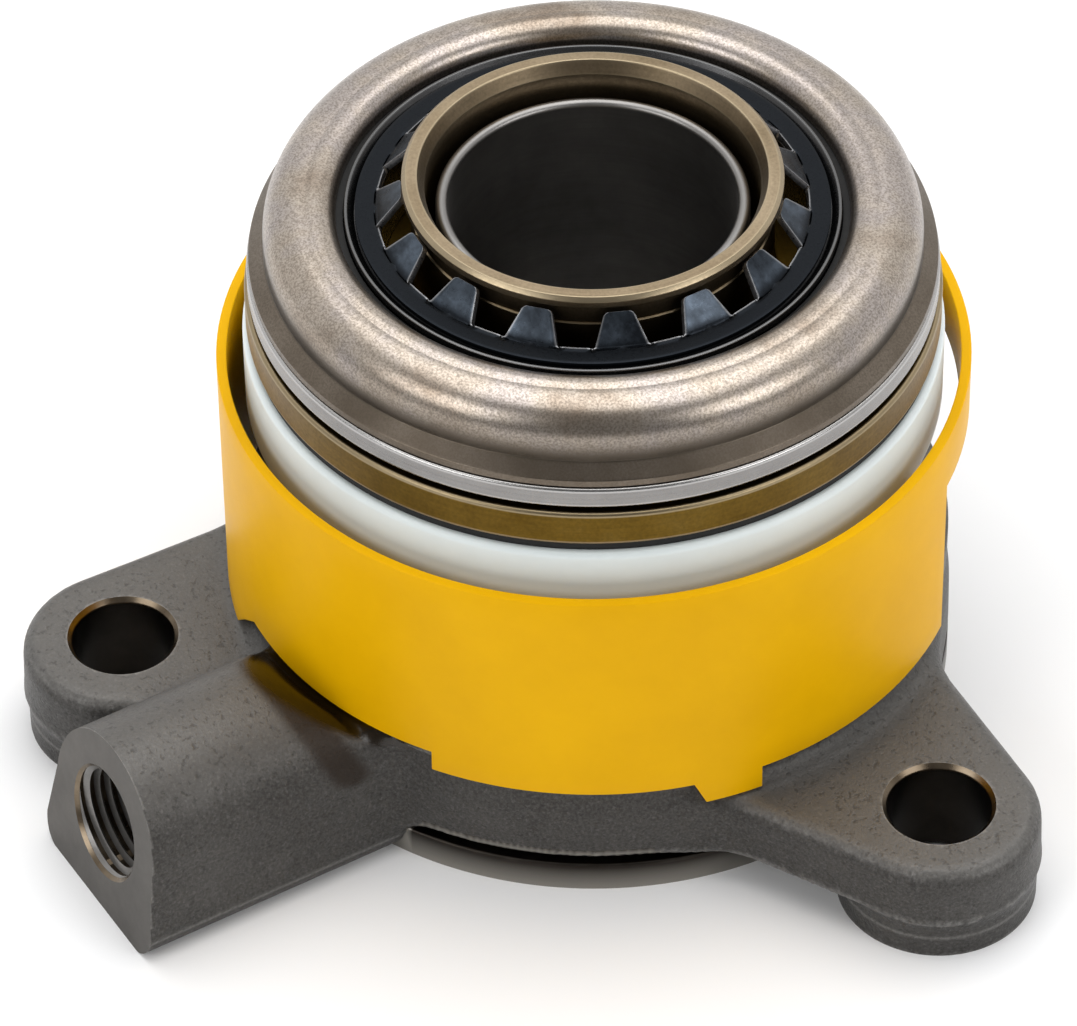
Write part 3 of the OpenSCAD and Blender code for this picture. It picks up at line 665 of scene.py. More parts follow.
def mark_painted_light_and_shade(body):
    """Marks the glossy ramp beside the guard, painted dark brown for its shade and the guard's reflection,
    the band of painted shade that runs on from it, and the painted light on upward faces.
    """
    x, y, z = rows_of(body.data.vertices, "co").T / MM
    on_boss = (np.abs(x - PORT_X) < BOSS_R + 1) & (y < 0)
    ramp = np.abs((np.hypot(x, y) - RAMP_R) - (z - RAMP_Z))
    # Painted shade: the ramp beside the guard is marked to be painted dark brown, for its shade and the
    # guard's reflection; it is also made glossy.
    set_value(body, "glossy_ramp_shade", np.where(on_boss & (z > RAMP_Z - 2), 1.5 - ramp / RAMP_SHADE_REACH, 0))
    # Painted shade: a straight band on the boss's near side, to be painted dark brown.
    band = np.abs(y - SHADE_BAND_Y - SHADE_BAND_LEAN * (SHADE_BAND_Z - z))
    fade = np.clip((z - SHADE_BAND_LOW_Z) / 1.5, 0, 1)
    set_value(body, "shade_band", np.where(on_boss & (x > 0), 1.6 - band / SHADE_BAND_HALF, 0) * fade)
    # Painted light: faces that look up are marked to be painted lighter.
    up = rows_of(body.data.vertices, "normal")[:, 2]
    set_value(body, "painted_top_light", up * 2 - 1)


# Guard: a thin wall with cut-outs


def guard_low(deg):
    """Height of the guard's lower edge just after an angle."""
    deg %= 360
    for start, end in GUARD_FEET:
        if start % 360 <= deg < end % 360:
            return GUARD_FOOT_Z
    if GUARD_WINDOW[0] <= deg < GUARD_WINDOW[1]:
        return GUARD_STRAP_Z
    if GUARD_RAISED[0] <= deg < GUARD_RAISED[1]:
        return GUARD_RAISED_Z
    return GUARD_EDGE_Z


def foot_angle(deg, z):
    """Where a column of the guard stands at a height: the feet lean in, and one of them has a slanted end."""
    start, end = GUARD_FEET[2]
    if z in SLANTED_FOOT_ENDS and start < deg <= end:
        deg = start + (deg - start) * (SLANTED_FOOT_ENDS[z] - start) / (end - start)
    if z == GUARD_FOOT_Z:
        deg += FOOT_END_LEAN.get(deg, 0.0)
    return deg


def guard_sleeve(material):
    """Thin yellow sleeve with a window, three feet and a raised edge over the port."""
    levels = sorted([GUARD_FOOT_Z, GUARD_EDGE_Z, GUARD_RAISED_Z, GUARD_STRAP_Z, GUARD_TOP, *GUARD_ROWS_Z])
    stops = {a % 360 for pair in GUARD_FEET for a in pair} | set(GUARD_WINDOW) | set(GUARD_RAISED)
    spare = [a for a in np.arange(0, 360, 2.0) if min(abs((a - s + 180) % 360 - 180) for s in stops) > 0.9]
    angles = sorted(set(stops) | set(spare))
    n = len(angles)
    verts = []
    for z in levels:
        for a in angles:
            t = math.radians(foot_angle(a, z))
            verts.append((GUARD_R[1] * math.cos(t), GUARD_R[1] * math.sin(t), z))
    faces = []
    for j in range(len(levels) - 1):
        for k in range(n):
            if levels[j] >= guard_low(angles[k]) - 1e-6:
                m = (k + 1) % n
                faces.append((j * n + k, j * n + m, (j + 1) * n + m, (j + 1) * n + k))
    guard = new_piece("guard_sleeve", verts, faces, [material])
    tidy = bmesh.new()
    tidy.from_mesh(guard.data)
    bmesh.ops.delete(tidy, geom=[v for v in tidy.verts if not v.link_faces], context="VERTS")
    tidy.to_mesh(guard.data)
    tidy.free()
    wall = guard.modifiers.new("wall", "SOLIDIFY")
    wall.thickness = (GUARD_R[1] - GUARD_R[0]) * MM
    wall.offset = -1
    soft = guard.modifiers.new("soft", "BEVEL")
    soft.width = GUARD_EDGE_ROUND * MM
    soft.segments = 3
    soft.limit_method = "ANGLE"
    soft.angle_limit = math.radians(40)
    bpy.context.view_layer.update()
    baked(guard)
    add_guard_rib(guard)
    set_smooth(guard, 40)
    z = rows_of(guard.data.vertices, "co")[:, 2] / MM
    set_value(guard, "wear", (z - GUARD_TOP + 0.4) / 0.4)
    return guard


def add_guard_rib(guard):
    """The rib inside the window's edge."""
    r0, r1 = RIB_R, GUARD_R[0] + 0.4
    rows = np.radians(np.linspace(*RIB_ANGLES, 5))
    low, high = RIB_Z
    section = [(r0, low), (r1, low), (r1, high), (r0 + 0.3, high), (r0, high - 0.4)]
    mesh = bmesh.new()
    mesh.from_mesh(guard.data)
    rings = [[mesh.verts.new((r * math.cos(a) * MM, r * math.sin(a) * MM, z * MM)) for r, z in section]
             for a in rows]
    for a, b in zip(rings, rings[1:]):
        for k in range(len(section)):
            m = (k + 1) % len(section)
            mesh.faces.new((a[k], b[k], b[m], a[m]))
    mesh.faces.new(rings[0])
    mesh.faces.new(rings[-1][::-1])
    mesh.to_mesh(guard.data)
    mesh.free()


# Nodes, for shapes and for materials

FLOAT, WHOLE, VECTOR = "NodeSocketFloat", "NodeSocketInt", "NodeSocketVector"
SHAPE, SOLID, PAINT = "NodeSocketGeometry", "NodeSocketObject", "NodeSocketMaterial"


def add_node(tree, kind, inputs=None, **settings):
    """A node with its settings, and with each named input linked to a socket or set to a value."""
    node = tree.nodes.new(kind)
    for key, value in settings.items():
        setattr(node, key, value)
    for key, value in (inputs or {}).items():
        if isinstance(value, bpy.types.NodeSocket):
            tree.links.new(value, node.inputs[key])
        else:
            node.inputs[key].default_value = value
    return node


def node_group(name, kind, inputs, outputs):
    """A new node group: its tree, its two ends, and under which identifier each input is set."""
    tree = bpy.data.node_groups.new(name, kind)
    keys = {}
    for title, socket_type, default in inputs:
        socket = tree.interface.new_socket(title, in_out="INPUT", socket_type=socket_type)
        if default is not None:
            socket.default_value = default
        keys[title] = socket.identifier
    for title, socket_type in outputs:
        tree.interface.new_socket(title, in_out="OUTPUT", socket_type=socket_type)
    given = add_node(tree, "NodeGroupInput").outputs
    out = add_node(tree, "NodeGroupOutput").inputs
    return tree, given, out, keys


def math_node(tree, operation, a, b=None):
    """One sum of values or sockets."""
    values = {0: a} if b is None else {0: a, 1: b}
    return add_node(tree, "ShaderNodeMath", values, operation=operation).outputs[0]


# Geometry Nodes: a coil for the spring and the port's thread, a ring of fingers for the clip


def coil_tree():
    """A coil around +Z whose end turns can close up, swept with a round or many-sided wire."""
    tree, given, out, keys = node_group("coil", "GeometryNodeTree", [
        ("Radius", FLOAT, 1.0), ("Turns", FLOAT, 4.0), ("Start", FLOAT, 0.0), ("Rise", FLOAT, 1.0),
        ("Even pitch", FLOAT, 1.0), ("Wire radius", FLOAT, 0.1), ("Wire sides", WHOLE, 12),
        ("Wire turn", FLOAT, 0.0), ("Steps", WHOLE, 100), ("Material", PAINT, None)], [("Coil", SHAPE)])

    def times(a, b):
        return math_node(tree, "MULTIPLY", a, b)

    line = add_node(tree, "GeometryNodeMeshLine", {"Count": given["Steps"]})
    number = add_node(tree, "GeometryNodeInputIndex").outputs[0]
    share = math_node(tree, "DIVIDE", number, math_node(tree, "SUBTRACT", given["Steps"], 1.0))
    angle = times(times(share, given["Turns"]), 2 * math.pi)
    eased = times(times(share, share), math_node(tree, "SUBTRACT", 3.0, times(share, 2.0)))
    rest = math_node(tree, "SUBTRACT", 1.0, given["Even pitch"])
    climb = math_node(tree, "ADD", times(share, given["Even pitch"]), times(eased, rest))
    place = add_node(tree, "ShaderNodeCombineXYZ", {
        0: times(math_node(tree, "COSINE", angle), given["Radius"]),
        1: times(math_node(tree, "SINE", angle), given["Radius"]),
        2: math_node(tree, "ADD", times(climb, given["Rise"]), given["Start"])})
    moved = add_node(tree, "GeometryNodeSetPosition", {
        "Geometry": line.outputs[0], "Position": place.outputs[0]})
    curve = add_node(tree, "GeometryNodeMeshToCurve", {"Mesh": moved.outputs[0]})
    upright = add_node(tree, "GeometryNodeSetCurveNormal", {"Curve": curve.outputs[0]}, mode="Z_UP")
    wire = add_node(tree, "GeometryNodeCurvePrimitiveCircle", {
        "Resolution": given["Wire sides"], "Radius": given["Wire radius"]})
    turn = add_node(tree, "ShaderNodeCombineXYZ", {2: given["Wire turn"]})
    spun = add_node(tree, "GeometryNodeTransform", {"Geometry": wire.outputs[0], "Rotation": turn.outputs[0]})
    swept = add_node(tree, "GeometryNodeCurveToMesh", {
        "Curve": upright.outputs[0], "Profile Curve": spun.outputs[0], "Fill Caps": True})
    real = add_node(tree, "GeometryNodeRealizeInstances", {0: swept.outputs[0]})
    paint = add_node(tree, "GeometryNodeSetMaterial", {
        "Geometry": real.outputs[0], "Material": given["Material"]})
    tree.links.new(paint.outputs[0], out[0])
    return tree, keys


def ring_tree():
    """Sets copies of one object around +Z, so that the whole ring is one mesh."""
    tree, given, out, keys = node_group("finger_ring", "GeometryNodeTree", [
        ("Finger", SOLID, None), ("Count", WHOLE, 15), ("First angle", FLOAT, 0.0), ("Weld", FLOAT, 0.00001),
        ("Material", PAINT, None)], [("Ring", SHAPE)])
    spots = add_node(tree, "GeometryNodePoints", {"Count": given["Count"]})
    finger = add_node(tree, "GeometryNodeObjectInfo", {"Object": given["Finger"]})
    pitch = math_node(tree, "DIVIDE", 2 * math.pi, given["Count"])
    number = add_node(tree, "GeometryNodeInputIndex").outputs[0]
    angle = math_node(tree, "ADD", math_node(tree, "MULTIPLY", number, pitch), given["First angle"])
    turn = add_node(tree, "ShaderNodeCombineXYZ", {2: angle})
    copies = add_node(tree, "GeometryNodeInstanceOnPoints", {
        "Points": spots.outputs[0], "Instance": finger.outputs["Geometry"], "Rotation": turn.outputs[0]})
    real = add_node(tree, "GeometryNodeRealizeInstances", {0: copies.outputs[0]})
    weld = add_node(tree, "GeometryNodeMergeByDistance", {
        "Geometry": real.outputs[0], "Distance": given["Weld"]})
    paint = add_node(tree, "GeometryNodeSetMaterial", {
        "Geometry": weld.outputs[0], "Material": given["Material"]})
    tree.links.new(paint.outputs[0], out[0])
    return tree, keys


def grown(name, tree_and_keys, material, values):
    """A piece made by a Geometry Nodes tree, as a plain mesh."""
    tree, keys = tree_and_keys
    piece = bpy.data.objects.new(name, bpy.data.meshes.new(name))
    bpy.context.scene.collection.objects.link(piece)
    step = piece.modifiers.new(name, "NODES")
    step.node_group = tree
    for key, value in values.items():
        step[keys[key]] = value
    step[keys["Material"]] = material
    bpy.context.view_layer.update()
    baked(piece)
    return piece


def preload_spring(coil, material):
    """Spring whose end turns lie closer together than the middle ones."""
    spring = grown("preload_spring", coil, material, {
        "Radius": SPRING_R * MM, "Turns": SPRING_TURNS, "Start": (SPRING_Z[0] + WIRE_R) * MM,
        "Rise": (SPRING_Z[1] - SPRING_Z[0] - 2 * WIRE_R) * MM, "Even pitch": SPRING_EVEN,
        "Wire radius": WIRE_R * MM, "Wire sides": WIRE_SIDES, "Wire turn": 0.0, "Steps": SPRING_STEPS})
    set_smooth(spring, 50)
    return spring


def port_thread(coil, material):
    """The thread's crest, as a ridge in the port's bore."""
    thread = grown("port_thread", coil, material, {
        "Radius": (THREAD_R - THREAD_SINK) * MM, "Turns": THREAD_TURNS, "Start": THREAD_START * MM,
        "Rise": THREAD_TURNS * THREAD_PITCH * MM, "Even pitch": 1.0,
        "Wire radius": THREAD_RIDGE_R * MM, "Wire sides": 3, "Wire turn": math.pi, "Steps": THREAD_STEPS})
    place = port_place()
    place.translation = place.translation * MM
    thread.data.transform(place)
    carve(thread, box_tool("front", (-30, -30, -20), (30, 30, 0.05), port_place(PORT_TILT)), "DIFFERENCE")
    carve(thread, turned_tool("mouth", mouth_section(0.02), port_place(PORT_TILT)), "DIFFERENCE")
    set_smooth(thread, 30)
    return thread


def clip_path(s):
    """Point of the clip's middle surface, a length s inwards from its rim: flat, a bend, then a slope."""
    flat = CLIP_R[1] - FINGER_BEND_START
    slope = math.radians(45)
    bend = FINGER_BEND_R * slope
    if s <= flat:
        return CLIP_R[1] - s, CLIP_Z
    a = min((s - flat) / FINGER_BEND_R, slope)
    along = max(s - flat - bend, 0) * math.sqrt(0.5)
    return (FINGER_BEND_START - FINGER_BEND_R * math.sin(a) - along,
            CLIP_Z + FINGER_BEND_R * (1 - math.cos(a)) + along)


def clip_sector():
    """One finger with its share of the clip's rim, as a bent sheet."""
    half = math.pi / FINGERS
    slot = CLIP_R[1] - CLIP_R[0]
    corner, tip_round = FINGER_CORNER, FINGER_TIP_ROUND
    inner = np.linspace(-1, 1, 11)
    root_a = (FINGER_ROOT + corner) / CLIP_R[0]
    outer = np.linspace(root_a, half, 4)[1:]
    columns = np.concatenate([-outer[::-1], inner * root_a, outer])
    rim_rows = list(np.linspace(0, slot - 0.001, 7))
    verts, rows = [], []
    for s in rim_rows:
        r, z = clip_path(s)
        rows.append([len(verts) + k for k in range(len(columns))])
        verts += [(r * math.cos(a), r * math.sin(a), z) for a in columns]
    faces = []
    for a, b in zip(rows, rows[1:]):
        faces += [(a[k], a[k + 1], b[k + 1], b[k]) for k in range(len(columns) - 1)]
    last = rows[-1][len(outer):len(outer) + len(inner)]
    straight = FINGER_LENGTH - tip_round
    steps = [corner * (1 - math.cos(t)) for t in np.linspace(0, math.pi / 2, 6)[1:]]
    steps += list(np.linspace(corner, straight, 7)[1:])
    steps += [straight + tip_round * math.sin(t) for t in np.linspace(0, math.pi / 2, 6)[1:]]
    for d in steps:
        width = FINGER_ROOT + (FINGER_TIP - FINGER_ROOT) * d / FINGER_LENGTH
        if d < corner:
            width += corner - math.sqrt(max(corner ** 2 - (corner - d) ** 2, 0))
        if d > straight:
            width -= tip_round - math.sqrt(max(tip_round ** 2 - (d - straight) ** 2, 0))
        r, z = clip_path(slot + d)
        row = [len(verts) + k for k in range(len(inner))]
        verts += [(r, width * u, z) for u in inner]
        faces += [(last[k], last[k + 1], row[k + 1], row[k]) for k in range(len(inner) - 1)]
        last = row
    return new_piece("clip_sector", verts, faces, [])


def retaining_clip(material):
    """Star clip: one bent sheet from a ring of fingers, with its cut edges marked as worn."""
    sector = clip_sector()
    sector.hide_render = True
    clip = grown("retaining_clip", ring_tree(), material, {
        "Finger": sector, "Count": FINGERS, "First angle": math.radians(FINGER_START), "Weld": 0.00002})
    bpy.data.objects.remove(sector)
    edge = np.zeros(len(clip.data.vertices))
    mesh = bmesh.new()
    mesh.from_mesh(clip.data)
    bmesh.ops.recalc_face_normals(mesh, faces=mesh.faces)
    if sum(f.normal.z for f in mesh.faces) < 0:
        bmesh.ops.reverse_faces(mesh, faces=mesh.faces)
    mesh.verts.ensure_lookup_table()
    for v in mesh.verts:
        if any(e.is_boundary for e in v.link_edges) and v.co.xy.length < CLIP_WORN_R * MM:
            edge[v.index] = 1.0
    mesh.to_mesh(clip.data)
    mesh.free()
    set_value(clip, "wear", edge)
    wall = clip.modifiers.new("sheet", "SOLIDIFY")
    wall.thickness = (CLIP_T - CLIP_SLACK) * MM
    wall.offset = 0
    soft = clip.modifiers.new("soft", "BEVEL")
    soft.width = CLIP_EDGE_ROUND * MM
    soft.segments = 2
    soft.limit_method = "ANGLE"
    soft.angle_limit = math.radians(45)
    bpy.context.view_layer.update()
    baked(clip)
    set_smooth(clip, 40)
    return clip


# Shader node groups


def noise_node(tree, vector, scale, detail=3.0, rough=0.5):
    """Noise from 0 to 1 over a position."""
    return add_node(tree, "ShaderNodeTexNoise", {
        "Detail": detail, "Roughness": rough, "Scale": scale, "Vector": vector}).outputs["Fac"]


def ramp_value(tree, value, low, high):
    """0 below low and 1 above high, with a smooth rise between them."""
    return add_node(tree, "ShaderNodeMapRange", {"Value": value, "From Min": low, "From Max": high},
                    interpolation_type="SMOOTHSTEP").outputs[0]


def color_ramp(tree, value, stops):
    """Colours along a value: stops are (place, colour)."""
    node = add_node(tree, "ShaderNodeValToRGB", {"Fac": value})
    bar = node.color_ramp
    while len(bar.elements) < len(stops):
        bar.elements.new(0.5)
    for element, (spot, color) in zip(bar.elements, stops):
        element.position = spot
        element.color = (*color, 1)
    return node.outputs["Color"]


def blast_grain_group():
    """Shot-blasted skin: fine pits, light specks and soft patches."""
    tree, given, out, _ = node_group("blast_grain", "ShaderNodeTree", [
        ("Position", VECTOR, (0, 0, 0)), ("Grain scale", FLOAT, 3600.0), ("Speck scale", FLOAT, 2900.0),
        ("Patch scale", FLOAT, 120.0)], [("Height", FLOAT), ("Specks", FLOAT), ("Patches", FLOAT)])
    grain = noise_node(tree, given["Position"], given["Grain scale"], 4.0, 0.65)
    tree.links.new(grain, out["Height"])
    speck = noise_node(tree, given["Position"], given["Speck scale"], 2.0, 0.6)
    tree.links.new(ramp_value(tree, speck, 0.54, 0.72), out["Specks"])
    tree.links.new(noise_node(tree, given["Position"], given["Patch scale"], 4.0, 0.6), out["Patches"])
    return tree


def turned_rings_group():
    """Fine rings that follow a turned surface: they change with radius and height, hardly with angle."""
    tree, given, out, _ = node_group("turned_rings", "ShaderNodeTree", [
        ("Position", VECTOR, (0, 0, 0)), ("Ring scale", FLOAT, 4000.0), ("Blotch scale", FLOAT, 130.0)],
        [("Rings", FLOAT), ("Blotches", FLOAT), ("Fine", FLOAT)])
    x, y, z = add_node(tree, "ShaderNodeSeparateXYZ", {0: given["Position"]}).outputs
    square = math_node(tree, "ADD", math_node(tree, "MULTIPLY", x, x), math_node(tree, "MULTIPLY", y, y))
    radius = math_node(tree, "SQRT", square)
    angle = math_node(tree, "ARCTAN2", y, x)
    joined = add_node(tree, "ShaderNodeCombineXYZ", {
        0: radius, 1: z, 2: math_node(tree, "MULTIPLY", angle, 0.0004)})
    link = tree.links.new
    link(noise_node(tree, joined.outputs[0], given["Ring scale"], 2.0, 0.6), out["Rings"])
    link(noise_node(tree, given["Position"], given["Blotch scale"], 5.0, 0.62), out["Blotches"])
    link(noise_node(tree, given["Position"], 3200.0, 2.0, 0.5), out["Fine"])
    return tree


# Materials


def tones(dark, light):
    """Two colours for a ramp, over the middle part of a noise."""
    return [(0.3, dark), (0.7, light)]


class Finish:
    """One material under construction: a Principled shader with object coordinates at hand."""

    def __init__(self, name, color, metallic, roughness, **sockets):
        self.material = bpy.data.materials.new(name)
        self.material.use_nodes = True
        self.tree = self.material.node_tree
        self.shader = self.tree.nodes["Principled BSDF"]
        self.put("Base Color", (*color, 1))
        self.put("Metallic", metallic)
        self.put("Roughness", roughness)
        for key, value in sockets.items():
            self.put(key.replace("_", " "), value)
        self.place = self.tree.nodes.new("ShaderNodeTexCoord").outputs["Object"]

    def put(self, socket, value):
        """Sets an input of the shader to a plain value."""
        self.shader.inputs[socket].default_value = value

    def feed(self, value, socket):
        """Links a value to an input of the shader."""
        self.tree.links.new(value, self.shader.inputs[socket])

    def group(self, tree, **values):
        """The outputs of a node group, with some of its inputs set."""
        inputs = {key.replace("_", " "): value for key, value in values.items()}
        inputs["Position"] = self.place
        return add_node(self.tree, "ShaderNodeGroup", inputs, node_tree=tree).outputs

    def ramp(self, value, stops):
        """Colours along a value."""
        return color_ramp(self.tree, value, stops)

    def mix(self, share, a, b):
        """Two colours mixed: all a where the share is 0, all b where it is 1."""
        a, b = ((*color, 1) if isinstance(color, tuple) else color for color in (a, b))
        node = add_node(self.tree, "ShaderNodeMix", {"Factor": share, 6: a, 7: b}, data_type="RGBA")
        return node.outputs[2]

    def spread(self, value, low, high):
        """A value from 0..1 stretched over another range."""
        return add_node(self.tree, "ShaderNodeMapRange", {
            "Value": value, "To Min": low, "To Max": high}).outputs[0]

    def times(self, a, b):
        """Product of two values."""
        return math_node(self.tree, "MULTIPLY", a, b)

    def plus(self, a, b):
        """Sum of two values."""
        return math_node(self.tree, "ADD", a, b)

    def kept(self, name="wear"):
        """A value that was kept on the mesh's vertices."""
        return add_node(self.tree, "ShaderNodeAttribute", attribute_name=name).outputs["Fac"]

    def above(self, low, high):
        """0 below one height of the piece and 1 above another, in millimetres."""
        split = add_node(self.tree, "ShaderNodeSeparateXYZ", {0: self.place})
        return ramp_value(self.tree, split.outputs[2], low * MM, high * MM)

    def bump(self, height, depth_mm, strength=1.0):
        """Fine relief from a height."""
        node = add_node(self.tree, "ShaderNodeBump", {
            "Height": height, "Distance": depth_mm * MM, "Strength": strength})
        self.feed(node.outputs[0], "Normal")


def cast_aluminium(grain):
    """Dark blasted casting: soft patches, pits, fine light grain, painted light on upward faces and rubbed
    edges, with a glossy ramp beside the guard painted dark brown for its shade and the guard's reflection,
    and a dark brown band of painted shade beside it."""
    finish = Finish("cast_aluminium", (0.075, 0.071, 0.067), 0.45, 0.5)
    parts = finish.group(grain)
    tone = finish.ramp(parts["Patches"], [(0.3, (0.027, 0.0245, 0.022)), (0.55, (0.041, 0.038, 0.0345)),
                                          (0.8, (0.06, 0.0565, 0.052))])
    # Painted light: upward faces are mixed towards a lighter grey.
    top_lit_tone = finish.mix(finish.times(finish.kept("painted_top_light"), 0.4), tone, (0.2, 0.193, 0.184))
    grainy = finish.mix(finish.spread(parts["Height"], -0.35, 0.6), top_lit_tone, (0.15, 0.145, 0.138))
    pits = finish.group(grain, Speck_scale=1900.0)["Specks"]
    pitted = finish.mix(finish.times(pits, 0.42), grainy, (0.014, 0.012, 0.01))
    specked = finish.mix(finish.times(parts["Specks"], 0.14), pitted, (0.25, 0.245, 0.235))
    rub = ramp_value(finish.tree, finish.kept(), 0.1, 0.9)
    broken = finish.times(rub, finish.spread(parts["Height"], 0.0, 0.7))
    rubbed = finish.mix(broken, specked, (0.3, 0.29, 0.275))
    # Painted shade: the ramp beside the guard is painted dark brown, for its shade and the guard's
    # reflection, and made glossy.
    glossy_ramp_shade = ramp_value(finish.tree, finish.kept("glossy_ramp_shade"), 0.2, 0.9)
    # Painted shade: a straight dark brown band on the boss beside the ramp.
    shade_band = ramp_value(finish.tree, finish.kept("shade_band"), 0.0, 1.0)
    band_shaded = finish.mix(finish.times(shade_band, 0.9), rubbed, (0.014, 0.006, 0.0005))
    finish.feed(finish.mix(glossy_ramp_shade, band_shaded, (0.013, 0.007, 0.001)), "Base Color")
    finish.feed(finish.spread(glossy_ramp_shade, 0.45, 0.0), "Metallic")
    dry = finish.times(finish.spread(parts["Height"], 0.56, 0.36), finish.spread(glossy_ramp_shade, 1.0, 0.0))
    finish.feed(finish.plus(dry, finish.times(glossy_ramp_shade, 0.24)), "Roughness")
    rough_skin = finish.plus(parts["Height"], finish.times(pits, -0.5))
    finish.bump(finish.times(rough_skin, finish.spread(glossy_ramp_shade, 1.0, 0.25)), 0.05, 0.8)
    return finish.material


def milled_aluminium(grain):
    """Smooth milled faces of the casting."""
    finish = Finish("milled_aluminium", (0.13, 0.128, 0.124), 0.7, 0.4)
    parts = finish.group(grain, Grain_scale=1500.0, Patch_scale=260.0)
    tone = finish.ramp(parts["Patches"], tones((0.066, 0.06, 0.053), (0.094, 0.086, 0.077)))
    finish.feed(tone, "Base Color")
    finish.feed(finish.spread(parts["Height"], 0.34, 0.46), "Roughness")
    finish.bump(parts["Height"], 0.008, 0.4)
    return finish.material


def bronzed_cut(grain):
    """Bright cut edges with a brown tarnish."""
    finish = Finish("bronzed_cut", (0.16, 0.12, 0.08), 1.0, 0.28)
    parts = finish.group(grain, Grain_scale=1200.0, Patch_scale=300.0)
    tone = finish.ramp(parts["Patches"], tones((0.1, 0.075, 0.05), (0.22, 0.175, 0.125)))
    finish.feed(tone, "Base Color")
    finish.feed(finish.spread(parts["Height"], 0.22, 0.36), "Roughness")
    finish.bump(parts["Height"], 0.008, 0.4)
    return finish.material


def ringed_metal(name, rings, stops, rough, depth=0.004, metallic=1.0, edge=None):
    """A turned or ground metal: blotchy tones, fine rings in its gloss and brighter worn edges."""
    finish = Finish(name, stops[0][1], metallic, rough[0])
    parts = finish.group(rings)
    tone = finish.ramp(parts["Blotches"], stops)
    lined = finish.mix(finish.spread(parts["Rings"], 0.0, 0.22), tone, (0.02, 0.018, 0.016))
    if edge:
        lined = finish.mix(finish.times(finish.kept(), 0.75), lined, edge)
    finish.feed(lined, "Base Color")
    gloss = finish.plus(finish.times(parts["Rings"], 0.6), finish.times(parts["Fine"], 0.4))
    finish.feed(finish.spread(gloss, *rough), "Roughness")
    finish.bump(finish.plus(parts["Rings"], finish.times(parts["Fine"], 0.5)), depth, 0.6)
    return finish.material


def satin_steel(grain, rings):
    """Tumbled pressing: a grained satin dome with heat tints; below it the wall is painted dark as shade and
    the flare paler as a painted reflection.
    """
    finish = Finish("pressed_steel", (0.45, 0.38, 0.32), 1.0, 0.3)
    skin = finish.group(grain, Grain_scale=5200.0, Patch_scale=75.0)
    turned = finish.group(rings, Ring_scale=1300.0, Blotch_scale=150.0)
    clouds = finish.plus(finish.times(skin["Patches"], 0.65), finish.times(turned["Blotches"], 0.35))
    dome = finish.ramp(clouds, [(0.3, (0.335, 0.265, 0.205)), (0.46, (0.525, 0.455, 0.385)),
                                (0.58, (0.5, 0.445, 0.415)), (0.75, (0.64, 0.555, 0.47))])
    # Painted shade and reflection: the wall gets a much darker copy of the dome's steel, the flare a paler
    # one.
    wall = finish.ramp(clouds, [(0.35, (0.055, 0.045, 0.035)), (0.65, (0.1, 0.084, 0.067))])
    flare = finish.ramp(clouds, [(0.35, (0.13, 0.105, 0.08)), (0.65, (0.22, 0.185, 0.15))])
    upper = finish.mix(finish.above(FLANGE_TOP + 4.6, FLANGE_TOP + 7.6), wall, dome)
    tone = finish.mix(finish.above(FLANGE_TOP + 4.25, FLANGE_TOP + 4.5), flare, upper)
    dark_grain = finish.times(ramp_value(finish.tree, skin["Height"], 0.36, 0.66), 0.6)
    grainy = finish.mix(dark_grain, tone, (0.1, 0.08, 0.06))
    lined = finish.mix(finish.spread(turned["Rings"], 0.0, 0.14), grainy, (0.06, 0.05, 0.04))
    finish.feed(lined, "Base Color")
    finish.feed(finish.spread(skin["Height"], 0.22, 0.42), "Roughness")
    finish.bump(finish.plus(skin["Height"], finish.times(turned["Rings"], 0.2)), 0.012, 0.6)
    return finish.material


def yellow_zinc(rings):
    """Passivated steel, painted dark gold as shade on the flange under the bearing, and a lighter tan on the
    rolled rim.
    """
    finish = Finish("yellow_zinc", (0.15, 0.09, 0.02), 1.0, 0.3)
    parts = finish.group(rings, Ring_scale=3000.0, Blotch_scale=130.0)
    # Painted shade: the flange under the bearing gets a dark gold copy of the rim's tan.
    gold_in_shade = finish.ramp(parts["Blotches"], [(0.3, (0.11, 0.062, 0.007)), (0.55, (0.16, 0.095, 0.014)),
                                           (0.8, (0.2, 0.13, 0.03))])
    tan = finish.ramp(parts["Blotches"], tones((0.31, 0.235, 0.145), (0.46, 0.36, 0.24)))
    tone = finish.mix(finish.above(FLANGE_TOP + 5, FLANGE_TOP + 10), gold_in_shade, tan)
    mottled = finish.plus(finish.times(parts["Rings"], 0.4), finish.times(parts["Fine"], 0.6))
    lined = finish.mix(finish.spread(mottled, -0.2, 0.7), tone, (0.02, 0.014, 0.004))
    finish.feed(finish.mix(finish.times(finish.kept(), 0.6), lined, (0.4, 0.33, 0.22)), "Base Color")
    finish.feed(finish.spread(parts["Fine"], 0.24, 0.42), "Roughness")
    finish.bump(finish.plus(parts["Rings"], finish.times(parts["Fine"], 0.5)), 0.004, 0.6)
    return finish.material


def moulded_plastic(name, rings, stops, rough, depth=0.006, **sockets):
    """A moulded plastic: soft clouding, faint drawing lines and a fine sheen."""
    finish = Finish(name, stops[0][1], 0.0, rough[0], **sockets)
    parts = finish.group(rings, Ring_scale=900.0, Blotch_scale=70.0)
    finish.feed(finish.ramp(parts["Blotches"], stops), "Base Color")
    finish.feed(finish.spread(parts["Fine"], *rough), "Roughness")
    finish.bump(finish.plus(parts["Rings"], parts["Fine"]), depth, 0.35)
    return finish.material


